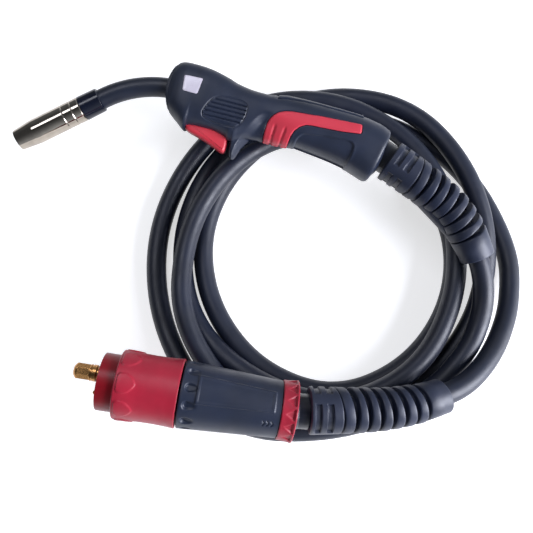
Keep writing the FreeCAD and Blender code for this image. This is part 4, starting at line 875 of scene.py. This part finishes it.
def rounded(outline, cut, steps=5):
    """Closed outline with each corner replaced by a curve that starts up to cut away from it."""
    corners = np.array(outline, float)
    before, after = np.roll(corners, 1, 0), np.roll(corners, -1, 0)
    points = []
    for here, last, following in zip(corners, before, after):
        a, b = last - here, following - here
        first = here + a * min(cut / np.linalg.norm(a), 0.45)
        second = here + b * min(cut / np.linalg.norm(b), 0.45)
        for t in np.linspace(0, 1, steps):
            points.append(first * (1 - t) ** 2 + 2 * here * t * (1 - t) + second * t * t)
    return np.array(points)


def inside_distance(outline, x, y):
    """Distance to a closed outline, positive inside it."""
    x, y = np.asarray(x, float), np.asarray(y, float)
    best = np.full(x.shape, 1e9)
    odd = np.zeros(x.shape, bool)
    for (x0, y0), (x1, y1) in zip(outline, np.roll(outline, -1, 0)):
        dx, dy = x1 - x0, y1 - y0
        t = np.clip(((x - x0) * dx + (y - y0) * dy) / (dx * dx + dy * dy + 1e-12), 0, 1)
        best = np.minimum(best, np.hypot(x - x0 - t * dx, y - y0 - t * dy))
        if y0 != y1:
            odd ^= ((y0 > y) != (y1 > y)) & (x < x0 + (y - y0) * dx / dy)
    return np.where(odd, best, -best)


def line_bump(offset, half_width):
    return smooth_step(1 - np.abs(offset) / half_width)


def in_guard(x):
    return (x > GUARD_REACH[0]) & (x < GUARD_REACH[1])


def section_at(x):
    """Top, bottom, half width and squareness of the plain section at x."""
    power = np.interp(x, *np.array(POWER).T)
    return smooth_through(TOP, x), smooth_through(BOTTOM, x), smooth_through(HALF, x), power


def half_width_at(x, y):
    """Half the handle's width at height y of the section at x, with the finger guard and the scoop."""
    top, low, half, power = section_at(x)
    share = np.clip(np.abs(y - (top + low) / 2) / ((top - low) / 2), 0, 1)
    behind = np.maximum(x - np.interp(y, *np.array(SCOOP_EDGE).T), 0)
    scoop = SCOOP_DEPTH * smooth_step(behind / 8.5) * np.exp(-(behind / 24.0) ** 2)
    scoop = scoop * smooth_step((6.0 - y) / 12.0)
    body = np.maximum(half - scoop, 1) * (1 - share ** power) ** (1 / power)
    guard = smooth_through(GUARD_LOW, x)
    along = np.clip((-14.0 - y) / (-14.0 - guard), 0, 1)
    keel = GUARD_HALF * (1 - along ** 3.2) ** (1 / 3.2) - 1.15 * behind
    keel = np.where(in_guard(x) & (y < -8) & (y > guard), np.clip(keel, 0, None), 0)
    return (body ** 6 + keel ** 6) ** (1 / 6)


def end_shift(x, y):
    """How far a section bends along x: the front edge curves back at both ends, and the rear face leans."""
    bow = 0.01 * np.maximum(4 - y, 0) ** 2 + 0.01 * np.maximum(y - 6, 0) ** 2
    return bow * (1 - smooth_step((x + 188.5) / 14)) + REAR_LEAN * y * smooth_step((x + 32) / 32)


def unbent(x, y):
    """The section that a point of the side view belongs to."""
    base = np.array(x, float)
    for _ in range(4):
        base = x - end_shift(base, y)
    return base


def sections(x, count=181):
    """Contours (x, y, z) from the top seam round the side to the bottom seam, one for each section."""
    x = np.asarray(x, float)[:, None]
    top, low = smooth_through(TOP, x), smooth_through(BOTTOM, x)
    for _ in range(5):
        top = (top + smooth_through(TOP, x + end_shift(x, top))) / 2
        low = (low + smooth_through(BOTTOM, x + end_shift(x, low))) / 2
    low = np.where(in_guard(x), np.minimum(low, smooth_through(GUARD_LOW, x)), low)
    y = top + (low - top) * (1 - np.cos(np.linspace(0, math.pi, count))) / 2
    at = x + end_shift(x, y)
    z = half_width_at(at, y)
    z[:, [0, -1]] = 0
    return np.stack([at, y, z], -1)


def unit(vectors):
    return vectors / (np.linalg.norm(vectors, axis=-1)[..., None] + 1e-12)


def skin_normals(points):
    """Normals of a grid of points, turned to the side that faces along z."""
    normal = unit(np.cross(np.gradient(points, axis=1), np.gradient(points, axis=0)))
    return normal * (-1.0 if normal[..., 2].mean() < 0 else 1.0)


def skin_relief(x, y, side):
    """Grooved pad, sunk panel, and the pockets of the insert, the badge and the screws."""
    inside = inside_distance(rounded(PAD, 3.0), x, y)
    tilted = y - PAD_SLOPE * (x + 135)
    grooves = sum(line_bump(tilted - g, 0.9) for g in PAD_GROOVES) * smooth_step((inside - 0.9) / 0.5)
    grooves = 1.3 * np.clip(grooves, 0, 1) * (inside > 0.5)
    height = -np.maximum(0.6 * line_bump(inside - 0.45, 0.8), grooves)
    inside = inside_distance(rounded(PANEL, 2.4), x, y)
    height += -PANEL_DEPTH * smooth_step(inside / 0.9) + 0.2 * line_bump(inside + 0.8, 0.9)
    inside = inside_distance(rounded(INSERT, 2.0), x, y)
    height += -INSERT_POCKET * smooth_step((inside + 0.6) / 0.6) + 0.14 * line_bump(inside + 1.4, 0.8)
    inside = inside_distance(rounded(BADGE_PLATE, 1.2), x, y)
    height -= BADGE_POCKET * smooth_step((inside + 0.1) / 0.6)
    if side < 0:
        for at_x, at_y in SCREWS:
            height -= SCREW_POCKET * smooth_step((SCREW_POCKET_R - np.hypot(x - at_x, y - at_y)) / 0.7)
    return height


def strip_groove(x, z):
    """Groove round the raised strip along the spine."""
    outside = np.maximum(np.abs(z) - STRIP_HALF - 0.2, np.maximum(STRIP[0] - x, x - STRIP[1]))
    return -STRIP_GROOVE * smooth_step((1.0 - np.abs(outside - 0.2)) / 0.7)


def arc_steps(line):
    return np.concatenate([[0], np.cumsum(np.hypot(*np.diff(line[:, 1:], axis=0).T))])


def resampled(line, count):
    """Even steps down to y -10 and then to the bottom, so that the guard doesn't shift the rows above it."""
    steps = arc_steps(line)
    knee = np.interp(10, -line[:, 1], steps)
    upper = int(count * 0.68)
    at = np.concatenate([np.linspace(0, knee, upper, endpoint=False),
                         np.linspace(knee, steps[-1], count - upper)])
    return np.stack([np.interp(at, steps, line[:, k]) for k in range(3)], -1)


def cut_at_slot(line):
    """The contour down to the trigger's slot."""
    last = np.nonzero((line[:, 2] > SLOT_HALF) & (line[:, 1] < 0))[0][-1]
    share = (line[last, 2] - SLOT_HALF) / (line[last, 2] - line[last + 1, 2])
    return np.concatenate([line[:last + 1], [line[last] + share * (line[last + 1] - line[last])]])


def shrunk(row, by, ahead, half):
    """The row moved ahead along x and drawn in by a share of its half height."""
    middle = (row[:, 1].max() + row[:, 1].min()) / 2
    share = 1 - by / half
    return np.stack([row[:, 0] + ahead, middle + (row[:, 1] - middle) * share, row[:, 2] * share], -1)


def round_hole(row, centre, radius, x):
    """The row brought on to a circle about the height of centre."""
    turned = np.arctan2(row[:, 1] - centre, row[:, 2])
    return np.stack([x + 0 * turned, centre + radius * np.sin(turned), radius * np.cos(turned)], -1)


def shell_walls(xs, side):
    """Outer and inner rows of one shell between its two ends."""
    in_slot = (xs > SLOT_FROM) & (xs < SLOT_TO)
    outer = np.array([resampled(cut_at_slot(line) if cut else line, SKIN_COLUMNS)
                      for line, cut in zip(sections(xs), in_slot)])
    outer[..., 2] = np.maximum(outer[..., 2], SEAM_GAP)
    normal = skin_normals(outer)
    height = skin_relief(outer[..., 0], outer[..., 1], side)
    height += strip_groove(outer[..., 0], outer[..., 2]) * (outer[..., 1] > 8)
    height[:, [0, -1]] = 0
    inner = outer - WALL * normal
    for k, move in ((0, -WALL), (-1, WALL)):
        inner[:, k] = outer[:, k] + np.array([0, move, 0])
    inner[in_slot, -1, 2] = SLOT_HALF
    return outer + normal * height[..., None], inner


def handle_half(name, side, node):
    """One shell: its skin with all that is sunk into it, its inner wall and its two rounded ends."""
    slot_edges = [end + step for end in (SLOT_FROM, SLOT_TO) for step in (-0.1, 0.1)]
    xs = np.concatenate([np.arange(FRONT_X, REAR_X, SKIN_STEP), np.arange(*FINE_REACH, FINE_STEP), slot_edges,
                         GUARD_FRONT])
    outer, inner = shell_walls(np.unique(xs.round(3)), side)
    first, last = outer[0], outer[-1]
    half = 22.0
    front = [shrunk(first, by, x, half) for by, x in ((5.0, -0.8), (1.0, -0.8), (0.4, -0.65), (0.1, -0.35))]
    rear = [shrunk(last, by, x, half)
            for by, x in ((0.15, 1.0), (0.45, 1.8), (0.9, 2.4), (1.5, 2.8), (2.3, 3.0), (3.2, 3.05))]
    rear += [round_hole(rear[-1], REAR_HOLE_Y, REAR_HOLE_R + more, x)
             for more, x in ((0.9, 0.4), (0.3, 0.2), (0.0, -0.4), (0.0, -7.0))]
    inner_rear = [shrunk(last, 3.0, 0.4, half) for _ in range(6)]
    inner_rear += [round_hole(last, REAR_HOLE_Y, REAR_HOLE_R + 2.5, x) for x in (-3.4, -3.6, -4.0, -7.0)]
    inner_front = [shrunk(first, by, x, half) for by, x in ((5.4, 0.8), (3.0, 0.9), (3.0, 1.0), (3.0, 1.1))]
    outside = np.array(front + list(outer) + rear)
    inside = np.array(inner_front + list(inner) + inner_rear)
    points = np.concatenate([outside.reshape(-1, 3), inside.reshape(-1, 3)])
    points[:, 2] = side * np.maximum(points[:, 2], SEAM_GAP)
    names = [node, "side_pad_upper" if side > 0 else "side_pad_lower"]
    return piece(name, points, sheet_faces(len(outside), SKIN_COLUMNS), NYLON, "handle", names,
                 HANDLE, sharp=48.0)


def from_top(x, y):
    """Arc length from the top seam to height y of each section."""
    return np.array([np.interp(-v, -line[:, 1], arc_steps(line)) for v, line in zip(y, sections(x))])


def on_skin(x, arc):
    """Points of the skin at an arc length from the top seam of each section."""
    points = []
    for v, line in zip(arc, sections(x)):
        steps = arc_steps(line)
        points.append([np.interp(v, steps, line[:, k]) for k in range(3)])
    points = np.array(points)
    points[:, 2] = np.maximum(points[:, 2], SEAM_GAP)
    return points


def flattened(outline):
    """An outline of the side view in short steps, as (section, arc length) on the unrolled skin."""
    loop = []
    for a, b in zip(outline, np.roll(outline, -1, 0)):
        for t in np.linspace(0, 1, max(1, int(np.hypot(*(b - a)) / 0.6)) + 1)[:-1]:
            loop.append(a + (b - a) * t)
    loop = np.array(loop)
    loop[:, 1] = np.maximum(loop[:, 1], smooth_through(BOTTOM, loop[:, 0]) + 0.02)
    base = unbent(loop[:, 0], loop[:, 1])
    flat = np.stack([base, from_top(base, loop[:, 1])], -1)
    return flat[np.hypot(*(flat - np.roll(flat, 1, 0)).T) > 0.05]


def triangulated(flat, spacing):
    """Points and triangles inside a closed outline, on a staggered grid."""
    low, high = flat.min(0), flat.max(0)
    u, v = np.meshgrid(np.arange(low[0], high[0], spacing), np.arange(low[1], high[1], spacing * 0.87),
                       indexing="ij")
    u = u + (np.arange(v.shape[1]) % 2) * spacing / 2
    inner = np.stack([u.ravel(), v.ravel()], -1)
    inner = inner[inside_distance(flat, inner[:, 0], inner[:, 1]) > 0.35]
    given = [Vector((float(a), float(b))) for a, b in np.concatenate([flat, inner])]
    verts, _, faces, *_ = delaunay_2d_cdt(given, [], [list(range(len(flat)))], 1, 1e-4)
    return np.array([tuple(w) for w in verts]), faces


def patch(name, outline, lift, depth, finish, stands_for, side, spacing):
    """Thin piece let into the skin: outline in the side view, lift from the distance inside it, x and y."""
    flat = flattened(outline)
    at, faces = triangulated(flat, spacing)
    here = on_skin(at[:, 0], at[:, 1])
    down = on_skin(at[:, 0], at[:, 1] + 0.3) - on_skin(at[:, 0], at[:, 1] - 0.3)
    along = on_skin(at[:, 0] + 0.3, at[:, 1]) - on_skin(at[:, 0] - 0.3, at[:, 1])
    normal = unit(np.cross(down, along))
    normal *= -1 if normal[:, 2].mean() < 0 else 1
    inside = inside_distance(flat, at[:, 0], at[:, 1])
    upper = here + normal * lift(np.maximum(inside, 0), here[:, 0], here[:, 1])[:, None]
    lower = here - normal * depth
    edges = {(a, b) for f in faces for a, b in zip(f, f[1:] + f[:1])}
    shift = len(at)
    closed = [tuple(f) for f in faces] + [tuple(i + shift for i in reversed(f)) for f in faces]
    closed += [(b, a, a + shift, b + shift) for a, b in sorted(edges) if (b, a) not in edges]
    points = np.concatenate([upper, lower])
    points[:, 2] *= side
    return piece(name, points, closed, finish, "handle", stands_for, HANDLE, sharp=50.0)


def insert_lift(inside, x, y):
    """The grip insert stands proud with a rounded border, and two flutes cross its wide end."""
    edge = 0.6 - 0.55 * (1 - np.clip(inside / 1.1, 0, 1)) ** 2
    flutes = sum(line_bump(x - (at + slope * (y + 11)), 2.0) for at, slope in FLUTES)
    return edge - 0.9 * flutes * smooth_step((-1.5 - y) / 5) * smooth_step(inside / 0.8)


def badge_lift(inside, x, y):
    """The badge plate is flat with a slightly rounded border; its place doesn't matter."""
    return 0.3 - 0.15 * (1 - np.clip(inside / 0.5, 0, 1)) ** 2


def screws_tree():
    """One screw on every point of the host, square to a given axis, each turned its own way."""
    group, given = new_tree("screws_on_points", {
        "Geometry": ("Geometry", None), "Screw": ("Object", None), "Axis": ("Vector", (0.0, 0.0, -1.0)),
        "Size": ("Float", 1.0), "Spread of turn": ("Float", 1.0), "Seed": ("Int", 3),
        "Material": ("Material", None)})
    random = add(group, "FunctionNodeRandomValue", {"Seed": given["Seed"]}, data_type="FLOAT")
    spin = calculated(group, "MULTIPLY", random.outputs[1], given["Spread of turn"])
    around = add(group, "ShaderNodeCombineXYZ", {"Z": spin})
    start = add(group, "FunctionNodeEulerToRotation", {0: around.outputs[0]})
    turned = add(group, "FunctionNodeAlignRotationToVector",
                 {"Rotation": start.outputs[0], "Vector": given["Axis"]}, axis="Z")
    return end_tree(group, given, given["Geometry"], "Screw", turned.outputs[0], given["Size"])


def screw_shape():
    """Cheese head with a hexagon socket, its top face at z 0."""
    columns = 48
    angle = np.linspace(0, 2 * math.pi, columns, endpoint=False)
    hexagon = math.cos(math.pi / 6) / np.cos(angle % (math.pi / 3) - math.pi / 6)
    rows = []
    for z, r, hexed in ((-1.3, 0.01, False), (-1.3, 1.3, True), (0.0, 1.35, True), (0.0, 1.6, False),
                        (0.0, 2.45, False), (-0.12, 2.7, False), (-0.4, 2.85, False), (-1.9, 2.85, False),
                        (-1.9, 0.01, False)):
        reach = r * (hexagon if hexed else 1)
        rows.append(np.stack([reach * np.cos(angle), reach * np.sin(angle), z + 0 * angle], -1))
    return bpy.data.objects.new("screw_shape", new_mesh("screw_shape", rows, grid_faces(len(rows), columns)))


def shell_screws():
    """The four screws, on the under side, which is the side that the camera doesn't see."""
    places = [(x, y, 1.1 - float(half_width_at(np.array(x), np.array(y)))) for x, y in SCREWS]
    host = link(bpy.data.objects.new("screw_places", new_mesh("screw_places", places, [])))
    shape = link(screw_shape())
    points, faces = evaluated(host, screws_tree(), {"Screw": shape, "Axis": (0.0, 0.0, -1.0), "Size": 1.0,
                                                    "Spread of turn": 1.0, "Seed": 3, "Material": STEEL})
    discard(host, shape)
    return piece("shell_screw_heads", points, faces, STEEL, "handle", ["shell_screws"], HANDLE)


def back_strip_cover():
    """The strip follows the plain sections, stands 0.7 proud and is rounded along its border."""
    x, z = np.meshgrid(np.arange(STRIP[0] + 0.1, STRIP[1] + 0.5, 0.8),
                       np.linspace(-STRIP_HALF, STRIP_HALF, 41), indexing="ij")
    top, low, half, power = section_at(x)
    y = (top + low) / 2 + (top - low) / 2 * (1 - (np.abs(z) / half) ** power) ** (1 / power)
    points = np.stack([x, y, z], -1)
    normal = unit(np.cross(np.gradient(points, axis=1), np.gradient(points, axis=0)))
    normal *= np.where(normal[..., 1:2] < 0, -1, 1)
    border = np.minimum(np.minimum(x - x[0, 0], x[-1, 0] - x), STRIP_HALF - np.abs(z))
    lift = 0.7 - 0.5 * (1 - np.clip(border / 0.7, 0, 1)) ** 2
    lifted = points + normal * lift[..., None]
    deep = points - normal * 0.8
    return piece("back_strip_cover", np.concatenate([lifted.reshape(-1, 3), deep.reshape(-1, 3)]),
                 sheet_faces(*lift.shape), NYLON, "handle", ["back_strip"], HANDLE,
                 sharp=60.0)


def front_band_cover():
    """The band's rounded ring in front of the shells, down to the hole for the neck."""
    line = resampled(sections(np.array([FRONT_X]))[0], 60)
    loop = np.concatenate([line, (line * (1, 1, -1))[-2:0:-1]])
    rows = [shrunk(loop, by, x, 19.0) for x, by in (
        (-0.7, 4.0), (-0.7, 1.9), (-1.2, 1.8), (-2.2, 1.9), (-2.9, 2.4), (-3.2, 3.2), (-3.3, 4.0))]
    rows += [round_hole(loop, NECK_Y, NECK_HOLE_R + more, x)
             for x, more in ((-190.0, 1.0), (-189.8, 0.3), (-189.2, 0.0), (-186.9, 0.0))]
    return piece("front_band_cover", rows, grid_faces(len(rows), len(loop), True, True), NYLON, "handle",
                 ["front_band"], HANDLE, sharp=45.0)


def trigger_cover():
    """Trigger with a broad rounded edge all round its finger face."""
    outline = rounded(TRIGGER, 2.2, 6)
    outline = outline[np.hypot(*(outline - np.roll(outline, 1, 0)).T) > 0.02]
    way = unit(np.roll(outline, -1, 0) - np.roll(outline, 1, 0))
    inward = np.stack([-way[:, 1], way[:, 0]], -1)
    inward *= np.sign(((outline.mean(0) - outline) * inward).sum(1))[:, None]
    bevel = np.where(outline[:, 1] < FINGER_FACE_Y, FINGER_BEVEL, BACK_BEVEL)[:, None]
    quarter = np.linspace(0, math.pi / 2, 8)
    rows = []
    for sign, turns in ((-1, quarter), (1, quarter[::-1])):
        for turned in turns:
            inset = bevel * (1 - math.sin(turned))
            z = sign * (TRIGGER_HALF - bevel[:, 0] * (1 - math.cos(turned)))
            rows.append(np.column_stack([outline + inward * inset, z]))
    count, columns = len(rows), len(outline)
    faces = [tuple(f) for f in grid_faces(count, columns)]
    faces += [tuple(range(columns))[::-1], tuple(range((count - 1) * columns, count * columns))]
    return piece("trigger_cover", rows, faces, TRIGGER_RED, "trigger", ["trigger"], HANDLE,
                 sharp=50.0)


for side, name in ((1, "upper"), (-1, "lower")):
    handle_half("handle_skin_" + name, side, "handle_shell_" + name)
    patch("grip_insert_cover_" + name, rounded(INSERT, 1.6), insert_lift, 0.9, SOFT_RED,
          ["grip_insert_" + name], side, 0.7)
    patch("badge_cover_" + name, rounded(BADGE_PLATE, 1.0), badge_lift, 0.45, BADGE, ["badge_plate_" + name],
          side, 1.0)
shell_screws()
back_strip_cover()
front_band_cover()
trigger_cover()

# Floor, lamps and world, in metres and watts
FLOOR_HALF = 6.0
FLOOR_TONE = 0.72
FLOOR_GLOW = 0.62
SKY = (0.84, 0.9, 1.0)
LAMP_COLOUR = (0.88, 0.9, 1.0)
LAMP_AIM = Vector((0.1, 0.08, 0))
LAMPS = [("window", (1.1, -0.25, 0.5), (0.8, 0.8), 32.0), ("strip", (-0.3, 0.5, 1.1), (1.0, 0.3), 5.0)]


def make_floor():
    """White paper: it glows only for rays that are seen, so that it is white there and still takes shadow."""
    corners = [(x * FLOOR_HALF, y * FLOOR_HALF, FLOOR_Z * MM)
               for x, y in ((-1, -1), (1, -1), (1, 1), (-1, 1))]
    mesh = bpy.data.meshes.new("floor")
    mesh.from_pydata(corners, [], [(0, 1, 2, 3)])
    floor = link(bpy.data.objects.new("floor", mesh))
    made, tree, shader, _ = start_material("white_paper_floor")
    shader.inputs["Base Color"].default_value = (FLOOR_TONE, FLOOR_TONE, FLOOR_TONE, 1)
    shader.inputs["Roughness"].default_value = 0.9
    rays = add(tree, "ShaderNodeLightPath").outputs
    seen = calculated(tree, "MAXIMUM", rays["Is Camera Ray"], rays["Is Glossy Ray"])
    seen = calculated(tree, "MAXIMUM", seen, rays["Is Transmission Ray"])
    shader.inputs["Emission Color"].default_value = (1, 1, 1, 1)
    tree.links.new(calculated(tree, "MULTIPLY", seen, FLOOR_GLOW), shader.inputs["Emission Strength"])
    floor.data.materials.append(made)


def make_world():
    """A pale sky, brighter towards the horizon and towards +X, as from a row of windows."""
    world = bpy.data.worlds.new("studio")
    bpy.context.scene.world = world
    world.use_nodes = True
    tree = world.node_tree
    ground = tree.nodes["Background"]
    way = add(tree, "ShaderNodeSeparateXYZ", {0: add(tree, "ShaderNodeTexCoord").outputs["Generated"]})
    sweep = ranged(tree, way.outputs["Z"], 0.0, 0.95, 1.0, 0.12)
    side = ranged(tree, way.outputs["X"], -0.7, 0.9, 0.2, 1.2)
    ground.inputs["Color"].default_value = (*SKY, 1)
    tree.links.new(calculated(tree, "MULTIPLY", sweep, side), ground.inputs["Strength"])


def make_lamp(name, place, size, power):
    lamp = bpy.data.lights.new(name, "AREA")
    lamp.shape = "RECTANGLE"
    lamp.size, lamp.size_y = size
    lamp.energy = power
    lamp.color = LAMP_COLOUR
    made = link(bpy.data.objects.new(name, lamp))
    made.location = place
    made.rotation_euler = (LAMP_AIM - Vector(place)).to_track_quat("-Z", "Y").to_euler()


make_floor()
make_world()
for lamp in LAMPS:
    make_lamp(*lamp)
bpy.context.scene.view_settings.view_transform = "Standard"
